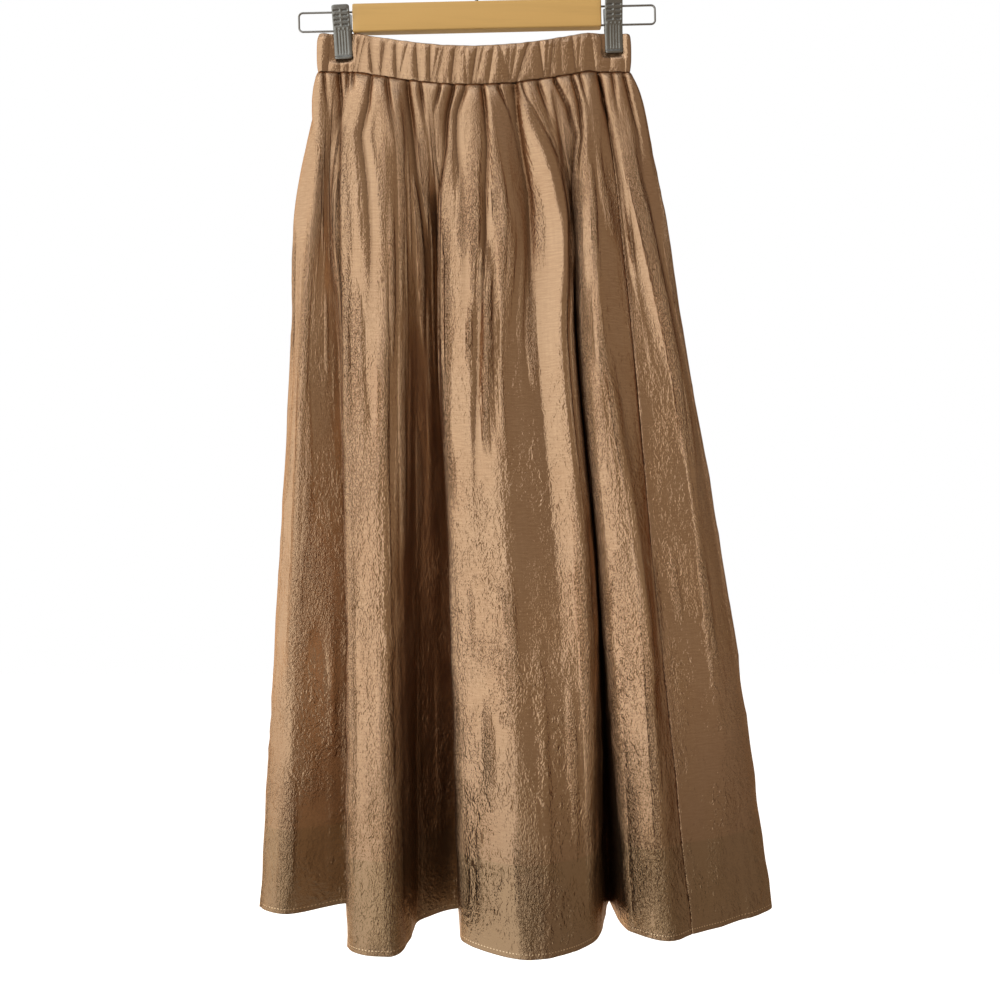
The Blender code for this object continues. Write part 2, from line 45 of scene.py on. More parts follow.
view = {
    "distance": 1.17,        # from the middle plane of the skirt
    "height": -0.578,        # below the hook's seat
    "aside": 0.0252,         # to the right of the hook
    "lens": 42.12,           # on a 36 mm sensor: 1000 pixels across cover 1 m in the middle plane
}
light = {
    "floor": -1.80,
    "floorSize": 14.0,
    "world": 0.15,
    "behind": 0.42,             # the room's light from behind and below, towards which behindWay points
    "behindWay": (0.0, 0.85, -0.52),
    "behindFull": 0.6,          # cosine of the turn from that way at which the light behind is full
    "worldTint": (1.0, 0.80, 0.62),
    "target": (0.03, 0.0, -0.55),
    # name: degrees to the left of the camera, degrees up, distance, width, height, power
    "key": (62.0, 4.0, 2.4, 5.6, 7.4, 163.0),
    "top": (20.0, 66.0, 2.2, 1.6, 1.0, 5.0),
    "right": (-41.0, 4.0, 2.4, 6.1, 7.4, 34.0),
    "rear": (142.0, 4.0, 2.4, 2.8, 6.0, 48.0),
    "keyTint": (1.0, 0.95, 0.85),
    "rearTint": (1.0, 0.92, 0.80),
    "rightTint": (1.0, 0.745, 0.51),
}


def setCamera():
    camera = bpy.data.objects.new("camera", bpy.data.cameras.new("camera"))
    bpy.context.scene.collection.objects.link(camera)
    camera.data.lens = view["lens"]
    camera.data.sensor_width = 36.0
    camera.location = (view["aside"], -view["distance"], view["height"])
    camera.rotation_euler = (math.pi / 2, 0.0, 0.0)
    bpy.context.scene.camera = camera


def setLamp(name):
    left, up, distance, width, height, power = light[name]
    left, up = math.radians(left), math.radians(up)
    data = bpy.data.lights.new(name, "AREA")
    data.shape = "RECTANGLE"
    data.size, data.size_y = width, height
    data.energy = power
    data.color = light.get(name + "Tint", (1.0, 1.0, 1.0))
    lamp = bpy.data.objects.new(name, data)
    bpy.context.scene.collection.objects.link(lamp)
    away = Vector((-math.sin(left) * math.cos(up), -math.cos(left) * math.cos(up), math.sin(up)))
    lamp.location = Vector(light["target"]) + away * distance
    lamp.rotation_euler = away.to_track_quat("Z", "Y").to_euler()


def setStage():
    half = light["floorSize"] / 2
    mesh = bpy.data.meshes.new("floor")
    corners = [(-half, -half), (half, -half), (half, half), (-half, half)]
    mesh.from_pydata([(x, y, light["floor"]) for x, y in corners], [], [(0, 1, 2, 3)])
    floor = bpy.data.objects.new("floor", mesh)
    bpy.context.scene.collection.objects.link(floor)
    paint = Finish("pale floor")
    paint.surface(baseColor=(0.86, 0.86, 0.85), roughness=0.9, glow=(1.0, 1.0, 1.0), glowStrength=1.0)
    mesh.materials.append(paint.material)
    floor.visible_diffuse = False  # the floor shows white, and lights nothing from below
    floor.visible_glossy = False
    floor.visible_shadow = False
    for name in ("key", "top", "right", "rear"):
        setLamp(name)
    bpy.context.scene.view_settings.view_transform = "Standard"


# The room's light, dim in front and brighter behind and below. The camera itself sees white.
def setWorld():
    dim, bright = [[light[name] * part for part in light["worldTint"]] for name in ("world", "behind")]
    world = bpy.data.worlds.new("studio")
    bpy.context.scene.world = world
    world.use_nodes = True
    tree = world.node_tree
    sky = tree.nodes["Background"]
    seen = tree.nodes.new("ShaderNodeLightPath")
    shade = tree.nodes.new("ShaderNodeMix")
    shade.data_type = "RGBA"
    behind = tree.nodes.new("ShaderNodeMapRange")
    behind.inputs["From Min"].default_value = 0.0
    behind.inputs["From Max"].default_value = light["behindFull"]
    heading = tree.nodes.new("ShaderNodeVectorMath")
    heading.operation = "DOT_PRODUCT"
    heading.inputs[1].default_value = light["behindWay"]
    tree.links.new(tree.nodes.new("ShaderNodeTexCoord").outputs["Generated"], heading.inputs[0])
    tree.links.new(heading.outputs["Value"], behind.inputs["Value"])
    room = tree.nodes.new("ShaderNodeMix")
    room.data_type = "RGBA"
    tree.links.new(behind.outputs[0], room.inputs[0])
    room.inputs[6].default_value = (*dim, 1.0)
    room.inputs[7].default_value = (*bright, 1.0)
    tree.links.new(room.outputs[2], shade.inputs[6])
    shade.inputs[7].default_value = (1.0, 1.0, 1.0, 1.0)
    tree.links.new(seen.outputs["Is Camera Ray"], shade.inputs[0])
    tree.links.new(shade.outputs[2], sky.inputs["Color"])


# Materials: one class holds a material's node tree, one wraps a socket so that shader maths reads as maths

class Value:
    def __init__(self, finish, socket):
        self.finish = finish
        self.socket = socket

    def math(self, operation, *others):
        return self.finish.node("ShaderNodeMath", {"operation": operation}, [self, *others])

    def __add__(self, other):
        return self.math("ADD", other)

    __radd__ = __add__

    def __mul__(self, other):
        return self.math("MULTIPLY", other)

    __rmul__ = __mul__

    def __sub__(self, other):
        return self.math("SUBTRACT", other)


class Finish:
    def __init__(self, name):
        self.material = bpy.data.materials.new(name)
        self.material.use_nodes = True
        self.tree = self.material.node_tree
        self.shader = self.tree.nodes["Principled BSDF"]

    # A node of any kind: its settings first, then what goes into its sockets, by place or by name
    def node(self, kind, settings=None, sockets=(), output=0):
        made = self.tree.nodes.new(kind)
        for key, value in (settings or {}).items():
            setattr(made, key, value)
        pairs = sockets.items() if isinstance(sockets, dict) else enumerate(sockets)
        for key, value in pairs:
            self.feed(made.inputs[key], value)
        return Value(self, made.outputs[output])

    def feed(self, socket, value):
        if isinstance(value, Value):
            self.tree.links.new(value.socket, socket)
        elif hasattr(value, "__len__") and len(value) == 3 and len(socket.default_value) == 4:
            socket.default_value = (*value, 1.0)
        else:
            socket.default_value = value

    def place(self, source="UV", scale=(1.0, 1.0, 1.0), turn=0.0):
        start = self.node("ShaderNodeTexCoord", output=source)
        sockets = {"Vector": start, "Scale": scale, "Rotation": (0.0, 0.0, turn)}
        return self.node("ShaderNodeMapping", {}, sockets)

    def noise(self, where, scale, detail=3.0, roughness=0.55, distortion=0.0):
        return self.node("ShaderNodeTexNoise", {}, {"Vector": where, "Scale": scale, "Detail": detail,
                                                    "Roughness": roughness, "Distortion": distortion})

    # Noise from a table's row: stretch across and down the piece, turn, then the noise's own values
    def grain(self, source, row):
        wide, tall, turn, *values = row
        return self.noise(self.place(source, (wide, tall, 1.0), turn), *values)

    def level(self, value, low, high):
        sockets = {"Value": value, "From Min": low, "From Max": high}
        return self.node("ShaderNodeMapRange", {"clamp": True}, sockets)

    def mix(self, share, first, second):
        made = self.node("ShaderNodeMix", {"data_type": "RGBA"}, {0: share}, output=2)
        self.feed(made.socket.node.inputs[6], first)
        self.feed(made.socket.node.inputs[7], second)
        return made

    def bump(self, height, distance, strength=1.0, under=None):
        sockets = {"Height": height, "Distance": distance, "Strength": strength}
        if under is not None:
            sockets["Normal"] = under
        return self.node("ShaderNodeBump", {}, sockets)

    def surface(self, baseColor, roughness, metallic=0.0, normal=None, coat=0.0, glow=None, glowStrength=0.0,
                edge=None):
        self.feed(self.shader.inputs["Base Color"], baseColor)
        self.feed(self.shader.inputs["Roughness"], roughness)
        self.feed(self.shader.inputs["Metallic"], metallic)
        self.shader.inputs["Coat Weight"].default_value = coat
        if edge:
            self.feed(self.shader.inputs["Specular Tint"], edge)
        if glow:
            self.feed(self.shader.inputs["Emission Color"], glow)
            self.shader.inputs["Emission Strength"].default_value = glowStrength
        if normal is not None:
            self.feed(self.shader.inputs["Normal"], normal)


satin = {
    "bright": (0.46, 0.315, 0.212),
    "dull": (0.43, 0.283, 0.184),
    "slub": (0.60, 0.44, 0.30),        # lighter threads across and darker ones down the cloth
    "slubShare": 0.36,
    "warp": (0.30, 0.19, 0.115),
    "warpShare": 0.12,
    "deep": (0.135, 0.070, 0.034),     # painted shade down in the folds
    "foldShadeShare": 0.94,
    "low": (0.23, 0.155, 0.10),        # painted shade, darker towards the hem, between these metres below the band
    "lowShadeShare": 0.62,
    "lowShadeReach": (0.60, 0.80),
    "below": (0.28, 0.205, 0.13),      # above the hem, where no lining seems to back the cloth
    "belowShare": 0.5,
    "liningEnd": (0.752, 0.754),
    "stitch": (0.78, 0.62, 0.44),
    "stitchShare": 0.7,
    "stitchLine": 0.8315,
    "stitchLength": 0.0036,
    "stitchHalf": 0.0006,
    "roughness": 0.13,
    "patchRoughness": 0.06,
    "metallic": 0.85,
    "edge": (0.85, 0.60, 0.42),        # what the cloth shows where it turns away from the eye
    "crumpleReach": (0.15, 0.62),      # metres below the band over which it grows more crumpled
}
# Each noise on the cloth: stretch round and down it, turn, scale, detail, roughness, distortion
satinGrain = {
    "patch": (1.0, 1.0, 0.0, 14.0, 3.0, 0.55),
    "patchy": (1.0, 1.0, 0.0, 16.0, 2.0, 0.5),
    "slub": (0.12, 1.0, 0.0, 620.0, 2.0, 0.55),
    "warp": (1.0, 0.05, 0.0, 420.0, 2.0, 0.55),
    "crumple": (1.0, 0.75, 0.0, 62.0, 3.0, 0.62, 0.5),
    "fine": (1.0, 0.85, 0.5, 150.0, 2.0, 0.6, 0.6),
    "pucker": (1.0, 0.55, 0.0, 400.0, 1.5, 0.5, 1.0),
    "ripple": (1.0, 0.70, 0.0, 640.0, 1.0, 0.5, 0.8),
}
# Each relief: height in metres and strength
satinRelief = {
    "crumple": (0.0046, 0.9),
    "fine": (0.0024, 0.9),
    "pucker": (0.0036, 1.0),
    "ripple": (0.0014, 0.8),
    "slub": (0.00025, 0.8),
}


# The cloth's own map has metres round it as U and metres down it as V. Its attribute "crinkled" is 1 where
# the cloth is puckered and 0 where it lies smooth, and its painted-shade attribute is 1 at the bottom of the
# deepest folds.
def satinFinish(name, lined=True):
    cloth = Finish(name)
    crease = None

    def attribute(label):
        return cloth.node("ShaderNodeAttribute", {"attribute_name": label}, output="Fac")

    flat = cloth.place("UV")
    low = cloth.node("ShaderNodeSeparateXYZ", {}, [flat], output="Y")
    noise = {kind: cloth.grain("UV", row) for kind, row in satinGrain.items()}
    tone = cloth.mix(cloth.level(noise["patch"], 0.35, 0.65), satin["dull"], satin["bright"])
    tone = cloth.mix(cloth.level(noise["slub"], 0.35, 0.70) * satin["slubShare"], tone, satin["slub"])
    tone = cloth.mix(cloth.level(noise["warp"], 0.35, 0.75) * satin["warpShare"], tone, satin["warp"])
    # Painted shade: darker down in the folds, by the attribute
    tone = cloth.mix(attribute("deep") * satin["foldShadeShare"], tone, satin["deep"])
    if lined:
        # Painted shade: darker towards the hem
        tone = cloth.mix(cloth.level(low, *satin["lowShadeReach"]) * satin["lowShadeShare"], tone, satin["low"])
        tone = cloth.mix(cloth.level(low, *satin["liningEnd"]) * satin["belowShare"], tone, satin["below"])
        aside = cloth.node("ShaderNodeSeparateXYZ", {}, [flat], output="X")
        dash = cloth.level((aside * (2 * math.pi / satin["stitchLength"])).math("SINE"), -0.1, 0.3)
        half = satin["stitchHalf"]
        row = cloth.level((low - satin["stitchLine"]).math("ABSOLUTE"), half, half / 2)
        tone = cloth.mix(dash * row * satin["stitchShare"], tone, satin["stitch"])
    lower = cloth.level(low, *satin["crumpleReach"])
    patchy = cloth.level(noise["patchy"], 0.38, 0.62)
    crinkled = attribute("crinkled")
    heights = {
        "crumple": (noise["crumple"] - 0.5).math("ABSOLUTE") * (lower + 0.22) * (patchy * 0.8 + 0.2),
        "fine": (noise["fine"] - 0.5).math("ABSOLUTE") * (lower + 0.35) * (patchy * 0.65 + 0.35),
        "pucker": noise["pucker"] * (crinkled + 0.03),
        "ripple": noise["ripple"] * (crinkled + 0.12),
        "slub": noise["slub"],
    }
    for kind, height in heights.items():
        crease = cloth.bump(height, *satinRelief[kind], crease)
    rough = satin["roughness"] + satin["patchRoughness"] * noise["patch"]
    cloth.surface(tone, rough, satin["metallic"], crease, edge=satin["edge"])
    return cloth.material


wood = {
    "pale": (0.76, 0.50, 0.18),
    "grain": (0.56, 0.35, 0.12),
    "roughness": 0.42,
    # stretch along and across the bar, turn, scale, detail, roughness, distortion
    "rings": (0.05, 1.0, 0.0, 120.0, 4.0, 0.6, 0.4),
    "pores": (0.03, 1.0, 0.0, 900.0, 2.0, 0.5),
    "clouds": (1.0, 1.0, 0.0, 18.0, 2.0, 0.5),
}
steel = {
    "wire": (0.30, 0.31, 0.32),
    "wireRoughness": 0.30,
    "clip": (0.25, 0.265, 0.27),
    "clipRoughness": 0.27,
}


def woodFinish():
    board = Finish("pale wood")
    rings, pores, clouds = [board.grain("Object", wood[kind]) for kind in ("rings", "pores", "clouds")]
    dark = board.level(rings, 0.45, 0.72) * 0.30 + board.level(pores, 0.6, 0.8) * 0.12 + clouds * 0.10
    tone = board.mix(dark, wood["pale"], wood["grain"])
    crease = board.bump(pores, 0.00012, 0.5)
    board.surface(tone, wood["roughness"] + 0.12 * rings, 0.0, crease, coat=0.25)
    return board.material


# Drawn or pressed steel: fine scratches along the piece and a cloudy polish
def steelFinish(name, colour, roughness, scratch):
    metal = Finish(name)
    lines = metal.noise(metal.place("Object", scratch), 1400.0, 2.0, 0.6)
    cloudy = metal.noise(metal.place("Object"), 160.0, 3.0, 0.6)
    tone = metal.mix(metal.level(cloudy, 0.35, 0.75), colour, [part * 0.86 for part in colour])
    crease = metal.bump(lines, 0.00006, 0.5)
    metal.surface(tone, roughness + 0.10 * cloudy, 1.0, crease)
    return metal.material


# Curves and surfaces

# A smooth curve through values at rising knots: each span is a cubic with the slopes of its neighbours
def spline(knots, values, where):
    knots = np.asarray(knots, float)
    values = np.asarray(values, float)
    steps = np.diff(knots).reshape((-1,) + (1,) * (values.ndim - 1))
    rises = np.diff(values, axis=0) / steps
    inner = (rises[:-1] * steps[1:] + rises[1:] * steps[:-1]) / (steps[:-1] + steps[1:])
    slopes = np.concatenate([rises[:1], inner, rises[-1:]])
    span = np.clip(np.searchsorted(knots, where, side="right") - 1, 0, len(knots) - 2)
    width = (knots[span + 1] - knots[span]).reshape((-1,) + (1,) * (values.ndim - 1))
    part = (np.asarray(where) - knots[span]).reshape(width.shape) / width
    start = values[span] * (1 + 2 * part) * (1 - part) ** 2 + slopes[span] * width * part * (1 - part) ** 2
    stop = values[span + 1] * (3 - 2 * part) * part ** 2 - slopes[span + 1] * width * (1 - part) * part ** 2
    return start + stop


# The same round a closed line of points. The place counts points: 2.5 lies midway between points 2 and 3.
def closedSpline(points, where):
    count = len(points)
    ring = np.concatenate([points[-3:], points, points[:3]])
    chords = np.linalg.norm(np.diff(ring[:, :2], axis=0), axis=1) ** 0.5
    knots = np.concatenate([[0.0], np.cumsum(chords)])
    index = np.mod(where, count) + 3
    low = np.floor(index).astype(int)
    return spline(knots, ring, knots[low] + (index - low) * (knots[low + 1] - knots[low]))


# Between that smooth curve and the straight chords from point to point, which gives each fold a crisp edge
def crispLoop(points, where, crisp):
    low = np.floor(where).astype(int) % len(points)
    part = (where - np.floor(where))[:, None]
    chord = points[low] * (1 - part) + points[(low + 1) % len(points)] * part
    return closedSpline(points, where) * (1 - crisp) + chord * crisp


# Distance walked along each point of a line
def walked(points):
    return np.concatenate([[0.0], np.cumsum(np.linalg.norm(np.diff(points, axis=0), axis=1))])


# Unit normals in plan, out of a loop that runs left, front, right, back: its heading turned by a quarter
def outward(loop):
    ahead = np.gradient(loop, axis=-2)
    normal = np.stack([ahead[..., 1], -ahead[..., 0]], axis=-1)
    return normal / np.linalg.norm(normal, axis=-1, keepdims=True)


# Smooth noise from 0 to 1: random heights on a unit lattice, blended with a soft step
def smoothNoise(x, y, seed):
    column, row = np.floor(x), np.floor(y)
    fx, fy = x - column, y - row
    fx, fy = fx * fx * (3 - 2 * fx), fy * fy * (3 - 2 * fy)

    def corner(i, j):
        return np.mod(np.sin((column + i) * 127.1 + (row + j) * 311.7 + seed * 74.7) * 43758.5453, 1.0)

    upper = corner(0, 0) * (1 - fx) + corner(1, 0) * fx
    lower = corner(0, 1) * (1 - fx) + corner(1, 1) * fx
    return upper * (1 - fy) + lower * fy


# A mesh object from a grid of points, rows by columns, with a map of its own. Sealed grids have rows that
# shrink to a point or a line, which are merged.
def skin(name, grid, mapped, wrap, material, thickness=0.0, sealed=False, shares=None):
    rows, columns = grid.shape[:2]
    index = np.arange(rows * columns).reshape(rows, columns)
    if wrap:
        index = np.concatenate([index, index[:, :1]], axis=1)
        closing = mapped[:, :1] + (mapped[:, -1:] - mapped[:, :1]) * (1 + 1 / columns)
        mapped = np.concatenate([mapped, closing], axis=1)
    quads = np.stack([index[:-1, :-1], index[1:, :-1], index[1:, 1:], index[:-1, 1:]], axis=-1).reshape(-1, 4)
    mesh = bpy.data.meshes.new(name)
    mesh.from_pydata(grid.reshape(-1, 3).tolist(), [], quads.tolist())
    corners = np.stack([mapped[:-1, :-1], mapped[1:, :-1], mapped[1:, 1:], mapped[:-1, 1:]], axis=2)
    layer = mesh.uv_layers.new(name="UVMap")
    layer.uv.foreach_set("vector", corners.reshape(-1).astype(np.float32))
    for label, values in (shares or {}).items():
        share = mesh.attributes.new(label, "FLOAT", "POINT")
        share.data.foreach_set("value", values.reshape(-1).astype(np.float32))
    if sealed:
        form = bmesh.new()
        form.from_mesh(mesh)
        bmesh.ops.remove_doubles(form, verts=form.verts, dist=1e-6)
        bmesh.ops.recalc_face_normals(form, faces=form.faces)
        form.to_mesh(mesh)
        form.free()
    mesh.shade_smooth()
    mesh.materials.append(material)
    piece = bpy.data.objects.new(name, mesh)
    bpy.context.scene.collection.objects.link(piece)
    if thickness:
        wall = piece.modifiers.new("wall", "SOLIDIFY")
        wall.thickness = thickness
        wall.offset = -1.0
    return piece


# Map coordinates of a closed grid: metres round it and metres along it
def spread(grid):
    around = np.linalg.norm(np.diff(grid, axis=1, append=grid[:, :1]), axis=-1).cumsum(axis=1)
    down = np.linalg.norm(np.diff(grid, axis=0, prepend=grid[:1]), axis=-1).cumsum(axis=0)
    return np.stack([around, down], axis=-1)


# The skirt

cut = {
    "aside": 2.2 * mm,
    "wall": 1.2 * mm,
    "shell": 0.7 * mm,
    "seamGap": 0.3 * mm,
    "seamShut": 0.02 * mm,
    "seamSink": 0.7 * mm,
    "length": 0.836,
    "columns": 400,
    "rows": 117,
    "gatherRise": 7 * mm,
    "gatherDeepest": 40 * mm,
    "gatherSpread": 60 * mm,
    "gatherShadeDepth": 4.5,             # painted shade: a valley of this many millimetres in depth is painted dark all the way down
    "gatherShadeFade": 15 * mm,
    "puff": 3.5 * mm,
    "puffFade": 50 * mm,
    "hemEdge": 0.6 * mm,
    "ditch": 0.8 * mm,
    "ditchWidth": 2 * mm,
    "billow": 11 * mm,
    "billowRise": 27 * mm,
    "billowFade": 75 * mm,
    "crisp": (0.45, 0.74, 0.68, 0.10),
    "foldShadeDepth": 38 * mm,
    "foldShadeReach": 26,              # columns to either side
    "crestTurn": 45.0,            # radians a metre
    "rightSeamLine": 16.0,
    "seamBeforeEnd": 33 * mm,
    "fullness": 2.05,
    "levels": (0.0, 0.145, 0.31, 0.58, 1.0),
}
band = {
    "top": -0.1130,
    "height": 38.5 * mm,
    "sag": 16.5 * mm,
    "sagCentre": -3 * mm,
    "sagReach": 116 * mm,
    "inside": 1.4 * mm,
    "outside": 0.6 * mm,
    "swell": 0.8 * mm,
    "ruche": 2.6 * mm,
    "steep": 0.75,             # how wide the valleys' left and right slopes are, as a share of the table's
    "gentle": 1.6,
    "cloth": 0.45 * mm,
    "columns": 900,
    "rows": 30,
    "fullness": 1.25,
    # x, and how far the cloth stands off the middle plane, front and back alike
    "plan": (
        (-157.0, 0.0), (-155.5, 2.4), (-150.0, 2.6), (-144.0, 1.7), (-125.0, 1.7), (-108.0, 5.2),
        (-62.0, 11.5), (-4.0, 14.5), (58.0, 11.5), (109.0, 5.2), (126.5, 1.7), (144.5, 1.7), (149.5, 2.2),
        (151.5, 0.0),
    ),
}
# The fold lines round the skirt, from the left side over the front to the right side and back behind.
# At the hip, thigh, knee and hem: x, and how far in front of the middle plane. Last, the hem's height.
foldLines = (
    (-178, 0, -184, 0, -196, 0, -215, 0, -985),
    (-160, 11, -170, 13, -177, 17, -188, 19, -985),
    (-147, 3, -139, 4, -131, 2, -127, -14, -986),
    (-138, 17, -131, 34, -121, 60, -113, 100, -990),
    (-91, 24, -89, 41, -85, 68, -76, 113, -990),
    (-75, 19, -73, 33, -70, 52, -63, 75, -990),
    (-62, 12, -60, 14, -57, 18, -56, 22, -990),
    (-40, 4, -37, -4, -27, -11, -16, -12, -990),
    (-34, 17, -35, 33, -24, 52, -11, 74, -991),
    (25, 27, 20, 45, 30, 71, 46, 110, -994),
    (53, 17, 59, 35, 77, 61, 93, 92, -993),
    (83, 26, 84, 44, 102, 66, 109, 76, -991),
    (89, 16, 93, 34, 112, 51, 118, 56, -990),
    (94, 4, 100, -3, 121, -11, 134, -25, -987),
    (101, 16, 103, 27, 120, 40, 147, 56, -988),
    (122, 18, 126, 30, 158, 50, 179, 82, -988),
    (140, 9, 153, 13, 171, 28, 204, 64, -988),
    (165, 8, 189, 12, 221, 21, 254, 35, -986),
    (182, 0, 205, 0, 244, 0, 294, 0, -985),
    (175, -9, 195, -16, 230, -26, 274, -40, -985),
    (158, -17, 174, -34, 202, -58, 238, -86, -987),
    (134, -10, 142, -14, 162, -18, 190, -20, -987),
    (114, -19, 120, -36, 138, -60, 160, -90, -989),
    (80, -20, 86, -39, 100, -66, 114, -98, -990),
    (48, -11, 52, -14, 62, -17, 70, -18, -989),
    (18, -20, 20, -38, 24, -64, 32, -94, -991),
    (-40, -21, -40, -40, -38, -68, -34, -104, -992),
    (-74, -12, -76, -15, -76, -18, -72, -20, -989),
    (-100, -19, -100, -36, -98, -60, -94, -88, -989),
    (-140, -17, -142, -33, -142, -56, -140, -84, -988),
    (-156, -10, -162, -16, -168, -24, -174, -32, -986),
    (-169, -8, -175, -14, -186, -22, -203, -30, -985),
)
# The gathers' valleys, pinched at the band, left to right: x at the levels below it, how far below it they
# end, their depth, and their half widths to the left and to the right
valleyLevels = (5.0, 32.0, 64.0, 113.0, 172.0, 340.0, 530.0)
frontValleys = (
    # x at each level, the last holding from there down; end, depth, left, right
    (-152, -150, -152, -153, -154, 45, 2.5, 3, 3),
    (-137, -133, -134, -137, -135, -130, -123, 620, 5, 6, 2.5),
    (-128, -125, -124, -122, -119, 28, 3, 2.5, 2.5),
    (-122, -118, -115, -112, -110, 22, 2.5, 2.5, 2.5),
    (-104, -105, -112, -106, -102, 230, 3.2, 4, 3),
    (-88, -85, -79, -77, -76, 85, 3.5, 5, 3.5),
    (-68, -65, -62, -57, -53, 170, 5, 12, 4),
    (-55, -52, -48, -46, -45, 45, 3, 4, 3),
    (-36, -40, -42, -42, -39, 38, 3, 3, 3),
    (-23, -28, -30, -40, -38, -36, -19, 520, 5.5, 7, 3),
    (-11, -18, -18, -14, -12, 230, 3, 6, 5),
    (6, 9, 11, 9, 8, 0, 400, 4.5, 5, 3),
    (22, 32, 35, 50, 3.5, 4, 3),
    (38, 41, 45, 52, 54, 270, 6, 14, 3.5),
    (45, 50, 54, 58, 24, 2.5, 2.5, 2.5),
    (61, 67, 70, 72, 50, 3.5, 5, 4),
    (77, 90, 98, 93, 93, 104, 118, 800, 5, 3, 2.5),
    (94, 101, 105, 101, 130, 4, 3, 2.5),
    (102, 108, 111, 113, 36, 2.5, 2.5, 2.5),
    (121, 124, 133, 143, 150, 180, 4.2, 7, 4),
    (135, 138, 143, 146, 150, 40, 2.5, 3, 3),
    (147, 152, 160, 164, 169, 130, 3.5, 5, 4),
    (155, 167, 172, 178, 183, 100, 3, 4, 3),
)
backValleys = (
    # x at each level, the last holding from there down; end, depth, left, right
    (146, 148, 152, 158, 164, 120, 3.5, 4, 5),
    (134, 138, 143, 148, 152, 200, 4.5, 3, 9),
    (121, 122, 124, 126, 128, 40, 3, 3, 3),
    (108, 112, 114, 118, 122, 126, 132, 420, 5, 3, 10),
    (99, 100, 101, 102, 104, 32, 2.5, 3, 3),
    (88, 92, 94, 95, 97, 150, 4, 4, 5),
    (76, 78, 79, 80, 82, 48, 3, 3, 4),
    (62, 58, 55, 52, 54, 58, 66, 520, 5.5, 3, 12),
    (50, 48, 46, 44, 36, 2.5, 3, 3),
    (36, 36, 34, 33, 32, 120, 4, 3, 6),
    (22, 18, 16, 14, 13, 60, 3.5, 4, 4),
    (7, 0, -6, -8, -10, -14, -16, 480, 5.5, 3, 12),
    (-6, -12, -15, -16, 40, 3, 3, 3),
    (-20, -24, -27, -28, -30, 180, 4, 3, 7),
    (-35, -38, -40, -42, 52, 3, 4, 3),
    (-49, -56, -66, -72, -76, -78, -80, 620, 6, 3, 10),
    (-62, -66, -70, -72, -74, 30, 2.5, 3, 3),
    (-76, -82, -88, -92, -94, 140, 4, 3, 6),
    (-89, -92, -94, -96, -98, 44, 3, 3, 3),
    (-103, -108, -114, -118, -122, -126, -128, 420, 5, 3, 10),
    (-116, -120, -122, -124, -126, 36, 2.5, 3, 3),
    (-129, -132, -136, -140, -144, 150, 4, 3, 6),
    (-142, -146, -150, -154, -158, 90, 3, 3, 4),
)

# Smaller folds on the front and on the back: x at the start, middle and end, start and end below the band,
# the half widths to the left and to the right of the crest, and the height. A trough's height is negative.
frontFalls = (
    # x start, x middle, x end, start, end, left, right, height
    (-62, -56, -56, 90, 290, 5, 4, 3.5),
    (-119, -120, -121, 215, 400, 5, 5, -2.5),
    (0, 11, 6, 80, 440, 17, 4, 5.5),
    (104, 120, 124, 40, 400, 14, 4, 4.0),
    (70, 76, 80, 6, 170, 20, 4, 4.5),
    (-78, -75, -74, 12, 110, 12, 4, 3.5),
    (118, 150, 171, 60, 320, 7, 7, -3.5),
    (148, 191, 229, 60, 470, 10, 6, 4.5),
    (2, 1, -1, 205, 410, 4, 4, -3.0),
    (60, 66, 69, 540, 960, 6, 4, 2.5),
    (-143, -146, -143, 520, 830, 7, 5, 3.0),
)
backFalls = (
    # x start, x middle, x end, start, end, left, right, height
    (92, 98, 104, 130, 420, 7, 9, -3.5),
    (76, 72, 76, 110, 330, 8, 5, 4.0),
    (-8, -12, -14, 220, 480, 7, 8, -3.5),
    (-82, -86, -88, 120, 300, 8, 6, 3.5),
    (-104, -112, -114, 230, 440, 7, 7, -3.0),
    (-20, -22, -24, 430, 900, 7, 6, 2.5),
    (96, 104, 110, 400, 880, 7, 6, 2.5),
)
# Cells of the cloth's puckering: metres round it, metres down it, and the noise's seed. The band's puckers
# count its height as 1.
cells = {
    "fold": (0.024, 0.20, 31),
    "slim fold": (0.024 / 2.1, 0.11, 37),
    "bend": (0.07, 0.16, 29),
    "patch": (0.022, 0.11, 11),
    "scattered": (0.035, 0.07, 13),
    "strip": (0.017, 0.13, 17),
    "coarse crinkle": (0.018, 0.040, 3),
    "finer crinkle": (0.010, 0.018, 5),
    "rising crease": (0.034, 0.058, 51),
    "falling crease": (0.046, 0.040, 53),
    "ditch width": (0.005, 1.0, 41),
    "ditch depth": (0.008, 1.0, 43),
    "band pucker": (0.0035, 0.2, 21),
    "band edge": (0.006, 1.0, 23),
}


# The band's plan as a closed fine line from its left end over the front, and the distance along it
def bandLoop():
    plan = np.array(band["plan"])
    front = np.column_stack([plan[:, 0], -plan[:, 1]])
    back = np.column_stack([plan[-2:0:-1, 0], plan[-2:0:-1, 1]])
    points = np.concatenate([front, back]) * mm + (cut["aside"], 0.0)
    fine = closedSpline(points, np.linspace(0, len(points), 4801))
    return fine, walked(fine)


# How far the band hangs down between the clips: half a cosine wave
def bandSag(x):
    return band["sag"] * np.cos(np.clip((x - band["sagCentre"]) / band["sagReach"], -1, 1) * math.pi / 2)


# The fold lines' plan at each level, and each line's share of the way round, from knee and hem together
def foldPlans():
    table = np.array(foldLines, float) * mm
    plans = np.stack([table[:, 0:8:2] + cut["aside"], -table[:, 1:8:2]], axis=-1).transpose(1, 0, 2)
    count = len(table)
    shares = []
    for plan in plans[2:]:
        way = walked(closedSpline(plan, np.linspace(0, count, 40 * count + 1)))
        shares.append(way[::40] / way[-1])
    return plans, table[:, 8], np.mean(shares, axis=0)
